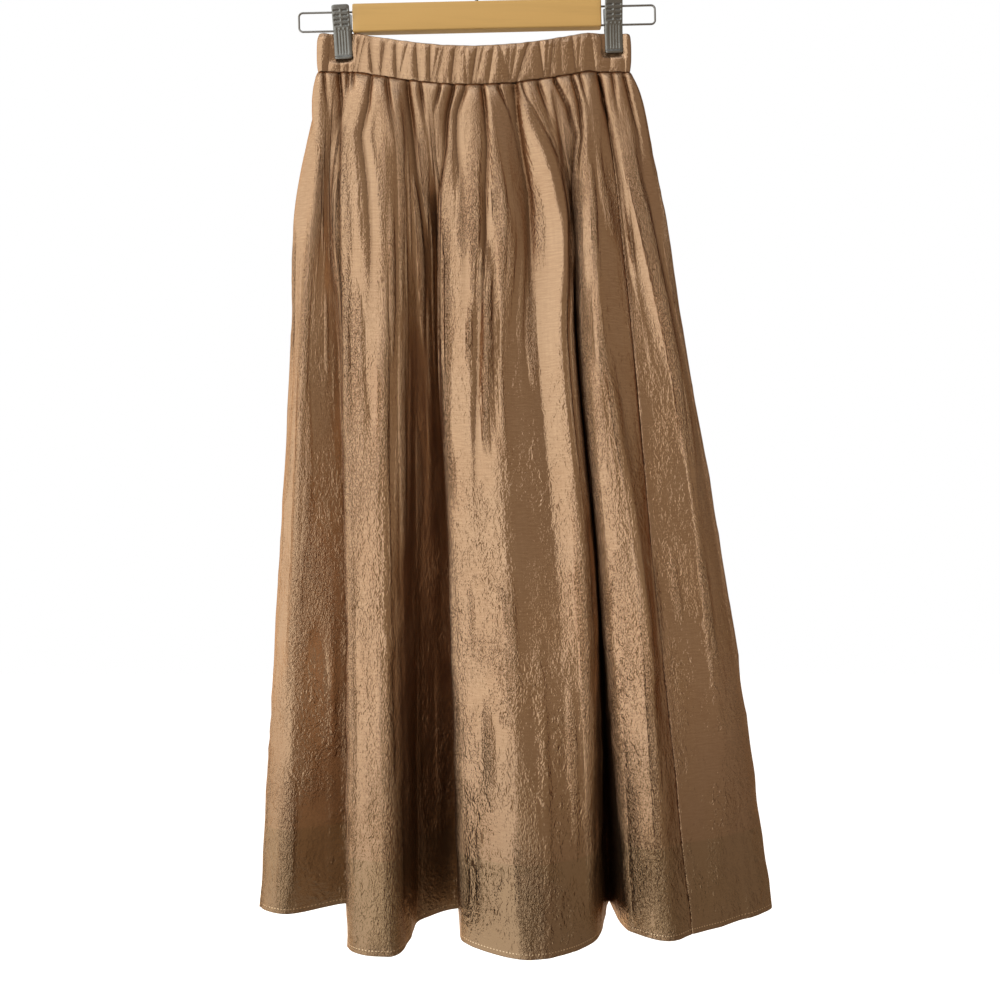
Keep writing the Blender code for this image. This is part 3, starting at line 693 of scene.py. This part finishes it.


# The gathers: how far each point falls back into their valleys, and how near it is to a valley's line, from
# 0 to 1, which paints shade along the valleys. Across, a valley is a pointed bell with its own half widths,
# which widen down the cloth. Its depth grows over the first millimetres below the band and fades towards its
# end.
def gatherValleys(plan, facing, below):
    fall = np.zeros(plan.shape[:2])
    near = np.zeros(plan.shape[:2])
    rise = 0.45 + 0.55 * np.minimum(below / cut["gatherRise"], 1.0)
    rise = rise * (1 + 0.45 * np.exp(-(below / cut["gatherDeepest"]) ** 2))
    widened = 0.55 + 0.45 * np.minimum(below / cut["gatherSpread"], 1.0)
    for table, side in ((frontValleys, -1), (backValleys, 1)):
        seen = np.clip(2 * side * facing, 0.0, 1.0)
        for *places, end, depth, left, right in table:
            line = np.interp(below / mm, valleyLevels[:len(places)], places)
            apart = (plan[..., 0] - cut["aside"]) / mm - line
            bell = np.exp(-np.abs(apart / np.where(apart < 0, left, right) / widened) ** 1.25)
            share = np.clip(1.25 - below / mm / end, 0.0, 1.0)
            share = share * share * (3 - 2 * share)
            fall = np.maximum(fall, seen * rise * share * depth * mm * bell)
            # Painted shade along each valley's line, full near the band and in valleys of the given depth in
            # millimetres
            dark = np.clip(depth / cut["gatherShadeDepth"] + np.exp(-below / cut["gatherShadeFade"]), 0.0, 1.0)
            thin = np.exp(-(apart / (0.9 + 0.25 * left)) ** 2) * dark
            near = np.maximum(near, np.sqrt(seen) * share * thin)
    return fall, near


# Noise from 0 to 1 in the cells of one kind of puckering
def celled(kind, x, y):
    wide, tall, seed = cells[kind]
    return smoothNoise(x / wide, y / tall, seed)


# Painted shade along the ditch at the band's seam, from 0 to 1, uneven in width and strength
def ditchShade(along, below):
    uneven = 0.6 + 1.3 * celled("ditch width", along, 0 * along)
    strength = 0.35 + 0.65 * celled("ditch depth", along, 0 * along)
    return np.exp(-(below / (1.7 * mm * uneven)) ** 2) * strength


# Folds and creases that run down the cloth: bells across, with their own half widths left and right of the
# crest, faded by a sine arch at both ends. The crest's x is a parabola down the cloth.
def runSwell(tables, plan, facing, below):
    swell = np.zeros(plan.shape[:2])
    for table, side in zip(tables, (-1, 1)):
        seen = np.clip(2 * side * facing, 0.0, 1.0)
        for startX, middleX, endX, start, end, left, right, height in table:
            down = np.clip((below / mm - start) / (end - start), 0.0, 1.0)
            bend = 4 * middleX - 3 * startX - endX
            crest = startX + down * (bend + down * (endX - startX - bend))
            apart = (plan[..., 0] - cut["aside"]) / mm - crest
            bell = np.exp(-(apart / np.where(apart < 0, left, right)) ** 2)
            swell += seen * height * mm * np.sin(math.pi * down ** 0.6) ** 2 * bell
    return swell


# One panel's outer face between two seams, as shares of the way round from the right seam
def panelGrid(firstTurn, lastTurn):
    step = (lastTurn - firstTurn) / cut["columns"]
    turns = firstTurn + step * np.arange(-2, cut["columns"] + 3)
    parts = np.linspace(0, 1, cut["rows"]) ** 1.25
    parts = np.concatenate([parts[:-1], [1 - cut["hemEdge"] / cut["length"], 1.0]])
    fine, way = bandLoop()
    plans, hem, shares = foldPlans()
    seamShare = np.interp(cut["rightSeamLine"], np.arange(len(shares)), shares)
    around = np.mod(turns + seamShare, 1.0)
    lines = np.interp(around, shares, np.arange(len(shares)))
    seamAlong = way[np.argmax(fine[:, 0])] - cut["seamBeforeEnd"]
    along = np.mod(seamAlong + turns * way[-1], way[-1])
    top = np.column_stack([np.interp(along, way, fine[:, 0]), np.interp(along, way, fine[:, 1])])
    levels = np.array([top] + [crispLoop(plan, lines, crisp) for plan, crisp in zip(plans, cut["crisp"])])
    plan = spline(cut["levels"], levels, parts)
    below = parts[:, None] * cut["length"]
    side = outward(plan)
    fall, near = gatherValleys(plan, side[..., 1], below)
    facing = np.clip(1.3 * np.abs(side[..., 1]), 0.0, 1.0)
    swell = cut["puff"] * np.exp(-(below / cut["puffFade"]) ** 2) * facing ** 2 - fall
    swell += runSwell((frontFalls, backFalls), plan, side[..., 1], below)
    billowed = 1 - np.exp(-below / cut["billowRise"])
    swell += cut["billow"] * billowed * np.exp(-(below / cut["billowFade"]) ** 2)
    swell += softFolds(around, below)
    crinkled = crinkleShare(plan + side * swell[..., None], around, below)
    swell += crinkle(around, below) * (0.10 + 0.6 * crinkled) + slantCreases(around, below)
    swell -= cut["ditch"] * np.exp(-(below / cut["ditchWidth"]) ** 2)
    tangent = np.stack([-side[..., 1], side[..., 0]], axis=-1)
    backOff = np.zeros(len(turns))
    backOff[2], backOff[-3] = cut["seamShut"] / 2, -cut["seamShut"] / 2
    swell[:, [2, -3]] -= cut["seamSink"]
    plan = plan + side * (swell + cut["wall"])[..., None] + tangent * backOff[:, None]
    lastRow = closedSpline(np.column_stack([plans[3], hem]), lines)[:, 2]
    topRow = band["top"] - band["height"] - cut["seamGap"] - bandSag(top[:, 0])
    height = topRow + (lastRow - topRow) * parts[:, None]
    grid = np.concatenate([plan, height[..., None]], axis=-1)[:, 2:-2]
    mapped = np.stack(np.broadcast_arrays(turns * cut["fullness"], below), axis=-1)[:, 2:-2]
    # Painted shade: the gathers' valleys, the ditch and the folds, handed to the material as an attribute
    pinchedShade = np.maximum(near, ditchShade(along, below))[:, 2:-2]
    deep = foldShadeShare(grid)
    return grid, mapped, {"crinkled": crinkled[:, 2:-2] * (1 - deep) ** 2, "deep": np.maximum(deep, pinchedShade)}


# Painted shade in the folds, from 0 to 1: how far each point falls back behind the crests to either side,
# less towards the hem and none at the sides of the skirt
def foldShadeShare(grid):
    forward = np.abs(grid[..., 1])
    reach = cut["foldShadeReach"]
    padded = np.pad(forward, ((0, 0), (reach, reach)), mode="edge")
    width = forward.shape[1]
    left = np.max([padded[:, i:i + width] for i in range(reach)], axis=0)
    right = np.max([padded[:, reach + i:reach + i + width] for i in range(reach)], axis=0)
    low, high = grid[..., 0].min(axis=1, keepdims=True), grid[..., 0].max(axis=1, keepdims=True)
    aside = np.abs(2 * (grid[..., 0] - low) / (high - low) - 1)
    crests = 0.5 * np.minimum(left, right) + 0.25 * (left + right)
    hem = np.linspace(0, 1, len(grid))[:, None] ** 9    # light comes in under the hem
    return np.clip((crests - forward) / cut["foldShadeDepth"] - 0.1, 0.0, 1.0) * (1 - aside ** 8) * (1 - 0.55 * hem)


# How crinkled the cloth is, from 0 to 1: where the folds' crests turn outwards sharply, in patches, in strips
# down the cloth, and more by the hem. The turn is the change of heading over a few columns to each side.
def crinkleShare(plan, around, below):
    ahead = np.gradient(plan, axis=1)
    heading = np.unwrap(np.arctan2(ahead[..., 1], ahead[..., 0]), axis=1)
    way = np.linalg.norm(ahead, axis=-1).cumsum(axis=1)
    reach = 3
    turn = np.zeros_like(heading)
    before, after = slice(None, -2 * reach), slice(2 * reach, None)
    turn[:, reach:-reach] = (heading[:, after] - heading[:, before]) / (way[:, after] - way[:, before])
    crest = np.clip(turn / cut["crestTurn"] - 0.25, 0.0, 1.0)
    across = around * cut["fullness"]
    patch = celled("patch", across, below)
    scattered = celled("scattered", across, below)
    low = np.clip((below / cut["length"] - 0.40) / 0.5, 0.0, 1.0)
    strip = np.clip(5 * celled("strip", across, below) - 3.4, 0.0, 1.0)
    share = crest * np.clip(3.0 * patch - 0.9, 0.0, 1.0) + 0.7 * strip
    share += 0.35 * low * np.clip(4 * scattered - 2.4, 0.0, 1.0)
    return np.clip(share, 0.0, 1.0) * np.clip((below - 0.02) / 0.14, 0.05, 1.0)


# Ridged noise from 0 to 1, 0 along the middle of each ridge
def ridged(kind, x, y):
    return np.abs(2 * celled(kind, x, y) - 1)


# Soft secondary folds: ridged noise drawn out down the cloth, its lattice bent by a wider noise
def softFolds(around, below):
    across = around * cut["fullness"]
    bent = across + 0.0384 * celled("bend", across, below)
    fold = ridged("fold", bent, below)
    slim = ridged("slim fold", bent, below)
    grown = np.clip((below - 0.03) / 0.12, 0.0, 1.0) * (1.15 - 0.8 * below / cut["length"])
    return (1.7 * mm * (0.5 - fold) + 0.25 * mm * (0.5 - slim)) * grown


# Crinkle: ridged noise, about twice as long down the cloth as across, none right at the band
def crinkle(around, below):
    across = around * cut["fullness"]
    coarse = ridged("coarse crinkle", across, below)
    finer = ridged("finer crinkle", across, below)
    return (1.1 * mm * (0.5 - coarse) + 0.8 * mm * (0.5 - finer)) * np.minimum(below / 0.03, 1.0)


# Creases that run aslant both ways, from a fifth of a metre below the band and stronger towards the hem
def slantCreases(around, below):
    across = around * cut["fullness"]
    lower = np.clip((below - 0.20) / 0.45, 0.0, 1.0)
    rising = ridged("rising crease", across + 0.55 * below, below - 0.4 * across)
    falling = ridged("falling crease", across - 0.8 * below, below + 0.5 * across)
    return mm * (1.5 * (0.5 - rising) + 1.3 * (0.5 - falling)) * lower


def makePanel(name, firstTurn, lastTurn, material):
    grid, mapped, shares = panelGrid(firstTurn, lastTurn)
    piece = skin(name, grid, mapped, False, material, cut["shell"], shares=shares)
    print("cloth panel", name, len(piece.data.polygons))
    return piece


# The waistband: a folded casing whose outer face is drawn into ruches

# Valleys of the ruches: x at the top and at the bottom, depth as a share, half widths to left and right
frontRuches = (
    # x top, x bottom, depth, left, right
    (-146, -149, 0.8, 3, 2), (-138, -136, 0.5, 2, 3), (-127, -128, 0.5, 2, 2), (-114.6, -122, 0.9, 5, 3),
    (-110, -119, 0.8, 2, 6), (-107, -103, 1.0, 3, 4), (-90, -95.4, 0.9, 5, 5), (-80.2, -79, 1.0, 4, 3),
    (-67.4, -77, 0.7, 4, 3), (-60.4, -57.6, 1.0, 3, 4), (-54, -56, 0.35, 2, 2), (-46, -46, 1.0, 3, 3),
    (-36.4, -44.8, 0.6, 3, 3), (-32, -39.5, 0.8, 5, 7), (-21.2, -25.5, 1.0, 4, 6), (-12, -10, 0.3, 2, 2),
    (0.5, -5.2, 1.0, 5, 4), (7, -1, 0.5, 3, 3), (17, 11.6, 0.8, 4, 2), (23, 33, 0.6, 4, 3),
    (33, 30.5, 0.45, 3, 2), (40, 33, 0.7, 6, 4), (50.3, 38.8, 1.0, 3, 6), (61.6, 66.6, 1.0, 5, 2),
    (71.3, 67, 0.6, 2, 2), (75.5, 71.5, 0.9, 3, 6), (82.1, 83.4, 0.6, 3, 4), (94.1, 97.8, 0.9, 5, 3),
    (102, 100, 0.4, 2, 2), (113, 117.5, 0.8, 6, 2), (135, 132, 0.5, 3, 3), (146.5, 148, 0.7, 4, 2),
)
backRuches = (
    # x top, x bottom, depth, left, right
    (-147, -146, 0.7, 3, 3), (-134, -138, 0.5, 3, 3), (-119, -116, 0.9, 3, 5), (-108, -112, 0.7, 4, 3),
    (-98, -95, 1.0, 3, 4), (-89, -92, 0.5, 2, 3), (-78, -74, 0.9, 4, 5), (-66, -70, 0.8, 5, 3),
    (-55, -52, 1.0, 3, 4), (-47, -50, 0.4, 2, 2), (-37, -33, 0.9, 4, 6), (-24, -28, 0.8, 5, 4),
    (-13, -9, 1.0, 3, 4), (-4, -7, 0.5, 3, 2), (8, 12, 0.9, 4, 5), (20, 16, 0.8, 5, 3),
    (31, 35, 1.0, 3, 4), (40, 38, 0.5, 2, 3), (51, 56, 0.9, 5, 4), (62, 58, 0.6, 3, 3),
    (73, 77, 1.0, 4, 5), (86, 82, 0.8, 4, 3), (97, 100, 0.9, 3, 5), (108, 104, 0.6, 3, 3),
    (117, 120, 0.8, 4, 3), (133, 137, 0.5, 3, 3), (146, 144, 0.7, 3, 3),
)


# 1 along the free band, 0 under each clip's jaws and 1 again below their lips
def clearOfClips(x, part):
    free = np.ones(np.broadcast_shapes(x.shape, part.shape))
    for centre, _, lip in (clip["left"], clip["right"]):
        across = np.exp(-((x - centre * mm - cut["aside"]) / clip["pressed"]) ** 8)
        free = free * (1 - across / (1 + np.exp((part - lip) * 36)))
    return free


# Ruches: a level with valleys in it, each 1 minus a pointed bell of the distance from its line
def rucheSwell(x, facing, part):
    level = np.zeros(np.broadcast_shapes(x.shape, part.shape))
    for table, side in ((frontRuches, -1), (backRuches, 1)):
        seen = np.clip(0.5 + 2 * side * facing, 0.0, 1.0)
        one = np.ones_like(level)
        for top, bottom, depth, left, right in table:
            apart = (x - cut["aside"]) / mm - (top + (bottom - top) * part)
            reach = np.where(apart < 0, left * band["steep"], right * band["gentle"])
            one = one * (1 - depth * np.exp(-np.abs(apart / reach) ** 1.2))
        level = level + seen * one
    return level


def bandGrid():
    fine, way = bandLoop()
    along = np.linspace(0, way[-1], band["columns"], endpoint=False)
    plan = np.column_stack([np.interp(along, way, fine[:, 0]), np.interp(along, way, fine[:, 1])])
    normal = outward(np.concatenate([plan[-2:], plan, plan[:2]]))[2:-2]
    x, facing = plan[:, 0], normal[:, 1]
    down = np.linspace(1, 0, band["rows"])[:, None]
    free = clearOfClips(x, down)
    edge = 1 - np.abs(2 * down - 1) ** 7
    pucker = celled("band pucker", along, down) - 0.5
    level = rucheSwell(x, facing, down)
    seen = np.clip(1.4 * np.abs(facing), 0.0, 1.0)
    ruche = level * seen * (0.35 + 0.65 * edge) + 0.5 * pucker * np.abs(2 * down - 1) ** 3
    bulge = band["swell"] * 4 * down * (1 - down)
    swell = band["outside"] + free * (band["ruche"] * ruche * (0.6 + 0.4 * edge) + bulge)
    around = (swell[-1] + band["inside"]) / 2
    angles = np.linspace(0, math.pi, 9)[1:-1, None]
    folded = (swell[-1] - band["inside"]) / 2 + around * np.cos(angles)
    inner = np.full((10, len(x)), -band["inside"])
    offset = np.concatenate([swell, folded, inner])
    top = band["top"] - bandSag(x) - around + 0.5 * mm * (celled("band edge", along, 0 * along) - 0.5)
    low = band["top"] - bandSag(x) - band["height"]
    outerHeight = top + (low - top) * down
    innerHeight = top + (low - top) * np.linspace(0, 1, 10)[:, None]
    height = np.concatenate([outerHeight, top + around * np.sin(angles), innerHeight])
    spot = plan + normal * offset[..., None]
    grid = np.concatenate([spot, height[..., None]], axis=-1)
    down = np.linalg.norm(np.diff(grid, axis=0, prepend=grid[:1]), axis=-1).cumsum(axis=0)
    mapped = np.stack(np.broadcast_arrays(along * band["fullness"], down), axis=-1)
    crinkled = np.broadcast_to(0.04 + 0.10 * np.abs(pucker[-1:]), grid.shape[:2])
    # Painted shade in the ruches' valleys, carried over the casing's fold, and full on its inside
    valley = 0.8 * np.clip(0.62 - 1.9 * level, 0.0, 1.0) * free
    deep = np.concatenate([valley, np.repeat(valley[-1:], 7, axis=0), np.ones((10, len(x)))])
    return grid, mapped, {"crinkled": crinkled, "deep": deep}


def makeBand(material):
    grid, mapped, shares = bandGrid()
    piece = skin("satin_band", grid, mapped, True, material, band["cloth"], shares=shares)
    print("waistband", len(piece.data.polygons))
    return piece


# The hanger

hanger = {
    "roll": 1.3,
    "barLength": 248 * mm,
    "barHeight": 28 * mm,
    "barDepth": 12.5 * mm,
    "barRound": 1.6 * mm,
    "barCentre": -0.095,
    "hookWire": 3.5 * mm,
    "hookInside": 19.5 * mm,
    "hookSink": 12 * mm,
    "hookTip": 200.0,
    "hookLeave": -50.0,
    "railWire": 2 * mm,
    "railSpacing": 18.8 * mm,
    "railReach": 54 * mm,
    "railSink": 10 * mm,
    "railCorner": 4 * mm,
    "railDrop": 1.7 * mm,
}
clip = {
    # x, lean in degrees, and how far down the band its lips reach, as a share
    "left": (-134.5, 1.7, 0.74),
    "right": (136.0, 0.3, 0.60),
    "pressed": 13.1 * mm,
    "width": 17.5 * mm,
    "sheet": 1.2 * mm,
    "corner": 2.0,
    # the jaw's inner face: off the middle plane, and above the lower wire
    "profile": ((4.2, -29.5), (3.6, -26.7), (3.6, -9.0), (5.4, 0.0), (9.3, 13.0), (11.6, 21.5)),
    # pressed detail, below the jaw's top or aside from its middle
    "slots": (5.3, 9.7, 13.9, 18.1),
    "slotReach": (0.9, 7.0),
    "slotDepth": 0.90,
    "dots": (-6.2, -2.1, 2.1, 6.2),
    "dotLine": 21.7,
    "dotHeight": 0.55,
    "ribs": (-4.3, -1.45, 1.45, 4.3),
    "ribReach": (23.5, 46.5),
    "ribDepth": 0.42,
    "lip": 49.2,
    "rows": 150,
    "columns": 36,
    "crowding": 0.94,          # how the columns crowd towards the jaw's edges
    # the ears that hold the pivot: thickness, nearest and furthest off the middle plane, height
    "ear": (1.2, 1.5, 6.2, 5.0),
}


# Turns points in the hanger's plane about a pivot, the right side up
def rolled(points, degrees, pivot=(0.0, 0.0)):
    angle = math.radians(degrees)
    x, z = points[..., 0] - pivot[0], points[..., 2] - pivot[1]
    turnedX = x * math.cos(angle) - z * math.sin(angle) + pivot[0]
    turnedZ = x * math.sin(angle) + z * math.cos(angle) + pivot[1]
    return np.stack([turnedX, points[..., 1], turnedZ], axis=-1)


# A round wire along a line in the hanger's plane: rings across it, with rounded ends
def makeWire(name, line, radius, material):
    ahead = np.gradient(line, axis=0)
    ahead /= np.linalg.norm(ahead, axis=1, keepdims=True)
    ends = radius * np.array([0.0, 0.05, 0.35])
    first = line[0] + ahead[0] * ends[:, None]
    last = line[-1] - ahead[-1] * ends[::-1, None]
    line = np.concatenate([first, line[1:-1], last])
    size = np.ones(len(line)) * radius
    size[:3] = radius * np.array([0.0, 0.75, 1.0])
    size[-3:] = radius * np.array([1.0, 0.75, 0.0])
    ahead = np.gradient(line, axis=0)
    ahead /= np.linalg.norm(ahead, axis=1, keepdims=True)
    across = np.column_stack([-ahead[:, 1], ahead[:, 0]])
    angles = np.linspace(0, 2 * math.pi, 20, endpoint=False)
    flat = line[:, None] + across[:, None] * (size[:, None] * np.cos(angles))[..., None]
    depth = size[:, None] * np.sin(angles)
    grid = np.stack([flat[..., 0], depth, flat[..., 1]], axis=-1)
    return skin(name, rolled(grid, hanger["roll"]), spread(grid), True, material, sealed=True)


def arc(centre, radius, first, last, steps):
    angles = np.linspace(first, last, steps)
    return np.column_stack([centre[0] + radius * np.cos(angles), centre[1] + radius * np.sin(angles)])


# From the tip over the rod, by a Bezier curve back to the middle, and down into the bar
def hookLine():
    radius = hanger["hookInside"] + hanger["hookWire"] / 2
    leaving = math.radians(hanger["hookLeave"])
    crook = arc((0.0, -hanger["hookInside"]), radius, math.radians(hanger["hookTip"]), leaving, 60)
    heading = np.array([math.sin(leaving), -math.cos(leaving)])
    handles = np.array([crook[-1], crook[-1] + heading * radius / 2, (0.0, -0.048), (0.0, -0.058)])
    t = np.linspace(0, 1, 25)[1:, None]
    neck = (1 - t) ** 3 * handles[0] + 3 * t * (1 - t) ** 2 * handles[1]
    neck = neck + 3 * t * t * (1 - t) * handles[2] + t ** 3 * handles[3]
    foot = hanger["barCentre"] + hanger["barHeight"] / 2 - hanger["hookSink"]
    shank = np.column_stack([np.zeros(6), np.linspace(-0.058, foot, 7)[1:]])
    return np.concatenate([crook, neck, shank])


# Out of the bar along the upper wire, round the end and back along the lower one
def railLine(side):
    upper = hanger["barCentre"] - hanger["railDrop"] + hanger["railSpacing"] / 2
    lower = upper - hanger["railSpacing"]
    inner = hanger["barLength"] / 2 - hanger["railSink"]
    bend = hanger["barLength"] / 2 + hanger["railReach"] - hanger["railCorner"]
    corner = hanger["railCorner"]
    straight = np.linspace(inner, bend, 14)[:-1]
    out = np.column_stack([straight, np.full(13, upper)])
    back = np.column_stack([straight[::-1], np.full(13, lower)])
    line = np.concatenate([out, arc((bend, upper - corner), corner, math.pi / 2, 0, 10),
                           arc((bend, lower + corner), corner, 0, -math.pi / 2, 10), back])
    return line * (side, 1.0)


# A rounded rectangle of points in Y and Z, for a half depth, a half height and a corner radius
def roundedRing(depth, height, radius):
    corners = []
    for turn, y, z in ((0, 1, 1), (1, -1, 1), (2, -1, -1), (3, 1, -1)):
        angles = (turn + np.linspace(0, 1, 7)) * math.pi / 2
        corners.append(np.column_stack([y * (depth - radius) + radius * np.cos(angles),
                                        z * (height - radius) + radius * np.sin(angles)]))
    return np.concatenate(corners)


# The wooden bar: rounded rings along it, drawn in at both ends by a quarter circle and closed to a point
def makeBar(material):
    half, radius = hanger["barLength"] / 2, hanger["barRound"]
    depth, height = hanger["barDepth"] / 2, hanger["barHeight"] / 2
    bends = np.linspace(0, math.pi / 2, 6)
    ends = [(-half + radius * (1 - math.cos(bend)), radius * (1 - math.sin(bend))) for bend in bends]
    middle = [(x, 0.0) for x in np.linspace(-half + radius, half - radius, 40)[1:-1]]
    rings = []
    for x, draw in ends + middle + [(-x, draw) for x, draw in ends[::-1]]:
        ring = roundedRing(depth - draw, height - draw, radius)
        rings.append(np.column_stack([np.full(len(ring), x), ring]))
    caps = [np.full(rings[0].shape, (side * half, 0.0, 0.0)) for side in (-1, 1)]
    grid = np.stack([caps[0], *rings, caps[1]])
    grid[..., 2] += hanger["barCentre"]
    piece = skin("wood_bar", rolled(grid, hanger["roll"]), spread(grid), True, material, sealed=True)
    print("bar", len(piece.data.polygons))
    return piece


# A soft step from 0 to 1 at a place, over about twice a width
def softStep(value, place, width):
    return 1 / (1 + np.exp(-(value - place) / width))


# What is pressed into a jaw's outer face, in millimetres: x aside from its middle, and down from its top
def jawRelief(x, down):
    def bell(distance, width):
        return np.exp(-(distance / width) ** 2)

    def within(value, reach, soft):
        return softStep(value, reach[0], soft[0]) * (1 - softStep(value, reach[1], soft[1]))

    slots = sum(bell(down - place, 0.75) for place in clip["slots"])
    dots = sum(bell(np.hypot(x - place, down - clip["dotLine"]), 0.75) for place in clip["dots"])
    ribs = sum(bell(x - place, 0.5) for place in clip["ribs"])
    relief = clip["dotHeight"] * dots
    relief = relief - clip["slotDepth"] * slots * within(np.abs(x), clip["slotReach"], (0.12, 0.2))
    relief = relief - clip["ribDepth"] * ribs * within(down, clip["ribReach"], (0.3, 0.3))
    return relief + 0.5 * bell(down - clip["lip"], 0.7) - 0.3 * bell(down - clip["lip"] + 1.6, 0.6)


# One pressed jaw: a ring of outer and inner face at each height, with rounded corners, closed at both ends
def makeJaw(name, side, front, material):
    x, lean = clip[side][:2]
    lowerWire = hanger["barCentre"] - hanger["railDrop"] - hanger["railSpacing"] / 2
    profile = np.array(clip["profile"])
    top, bottom = profile[-1, 1], profile[0, 1]
    z = np.linspace(top, bottom, clip["rows"])
    z = np.concatenate([z[:1], z, z[-1:]])
    reach = spline(profile[:, 1], profile[:, 0], z)
    fromEnd = np.minimum(np.minimum(top - z, z - bottom), clip["corner"])
    corner = clip["corner"]
    half = clip["width"] / mm / 2 - corner + np.sqrt(corner ** 2 - (corner - fromEnd) ** 2)
    crowd = clip["crowding"] * math.pi / 2
    across = np.sin(np.linspace(-1, 1, clip["columns"]) * crowd) / math.sin(crowd)
    aside = half[:, None] * across
    sheet = clip["sheet"] / mm
    outer = reach[:, None] + sheet + jawRelief(aside, top - z[:, None]) - 0.55 * np.abs(across) ** 10
    inner = reach[:, None] + 0.15 * np.abs(across) ** 8
    closing = (outer + inner)[[0, -1]] / 2
    outer[[0, -1]], inner[[0, -1]] = closing, closing
    ring = np.concatenate([aside, aside[:, ::-1]], axis=1) * mm
    depth = np.concatenate([outer, inner[:, ::-1]], axis=1) * mm * front
    height = np.broadcast_to(z[:, None] * mm + lowerWire, ring.shape)
    grid = np.stack([ring + x * mm, depth, height], axis=-1)
    grid = rolled(rolled(grid, lean, (x * mm, lowerWire)), hanger["roll"])
    piece = skin(name, grid, spread(grid), True, material, sealed=True)
    thick, near, far = clip["ear"][:3]
    for edge in (-1, 1):
        earX = x + edge * (clip["width"] / mm - thick) / 2
        makeEar(piece, earX, front * (near + far) / 2, x, lean, lowerWire)
    return piece


# An ear of a jaw, joined into the jaw's mesh: a rounded plate across the hanger
def makeEar(jaw, x, y, pivot, lean, lowerWire):
    thick, near, far, tall = clip["ear"]
    ring = roundedRing((far - near) / 2, tall / 2, 1.1)
    rings = []
    for place, size in ((-1, 0.0), (-1, 0.9), (-0.8, 1.0), (0.8, 1.0), (1, 0.9), (1, 0.0)):
        aside = np.full(len(ring), x + place * thick / 2)
        rings.append(np.column_stack([aside, y + ring[:, 0] * size, ring[:, 1] * size]))
    grid = np.stack(rings) * mm + (0.0, 0.0, lowerWire)
    grid = rolled(rolled(grid, lean, (pivot * mm, lowerWire)), hanger["roll"])
    ear = skin("ear", grid, spread(grid), True, jaw.data.materials[0], sealed=True)
    form = bmesh.new()
    form.from_mesh(jaw.data)
    form.from_mesh(ear.data)
    form.to_mesh(jaw.data)
    form.free()
    bpy.data.objects.remove(ear)


setCamera()
setStage()
setWorld()
print("camera, stage and light")
satinCloth = satinFinish("crinkled satin")
bandCloth = satinFinish("ruched satin", lined=False)
front = makePanel("satin_front", -0.5, 0.0, satinCloth)
back = makePanel("satin_back", 0.0, 0.5, satinCloth)
casing = makeBand(bandCloth)
for piece, node in ((front, "skirt_front"), (back, "skirt_back"), (casing, "waistband")):
    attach(piece, "root")
    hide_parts(node)

wireSteel = steelFinish("bright wire", steel["wire"], steel["wireRoughness"], (1.0, 1.0, 1.0))
clipSteel = steelFinish("pressed steel", steel["clip"], steel["clipRoughness"], (1.0, 1.0, 0.05))
hardware = [(makeBar(woodFinish()), "hanger_bar", "wood")]
hook = makeWire("wire_hook", hookLine(), hanger["hookWire"] / 2, wireSteel)
hardware.append((hook, "hanger_hook", "steel"))
for name, side in (("left", -1), ("right", 1)):
    rail = makeWire("wire_rail_" + name, railLine(side), hanger["railWire"] / 2, wireSteel)
    hardware.append((rail, "rail_" + name, "steel"))
    for face, facing in (("front", -1), ("back", 1)):
        jaw = makeJaw("jaw_" + name + "_" + face, name, facing, clipSteel)
        hardware.append((jaw, "clip_" + name + "_" + face, "clip_steel"))
    sleeve = bpy.data.objects["clip_" + name + "_sleeve"]
    sleeve.data.materials.clear()
    sleeve.data.materials.append(clipSteel)
for piece, node, slot in hardware:
    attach(piece, "root")
    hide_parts(node)
print("hanger", len(hardware), "pieces")
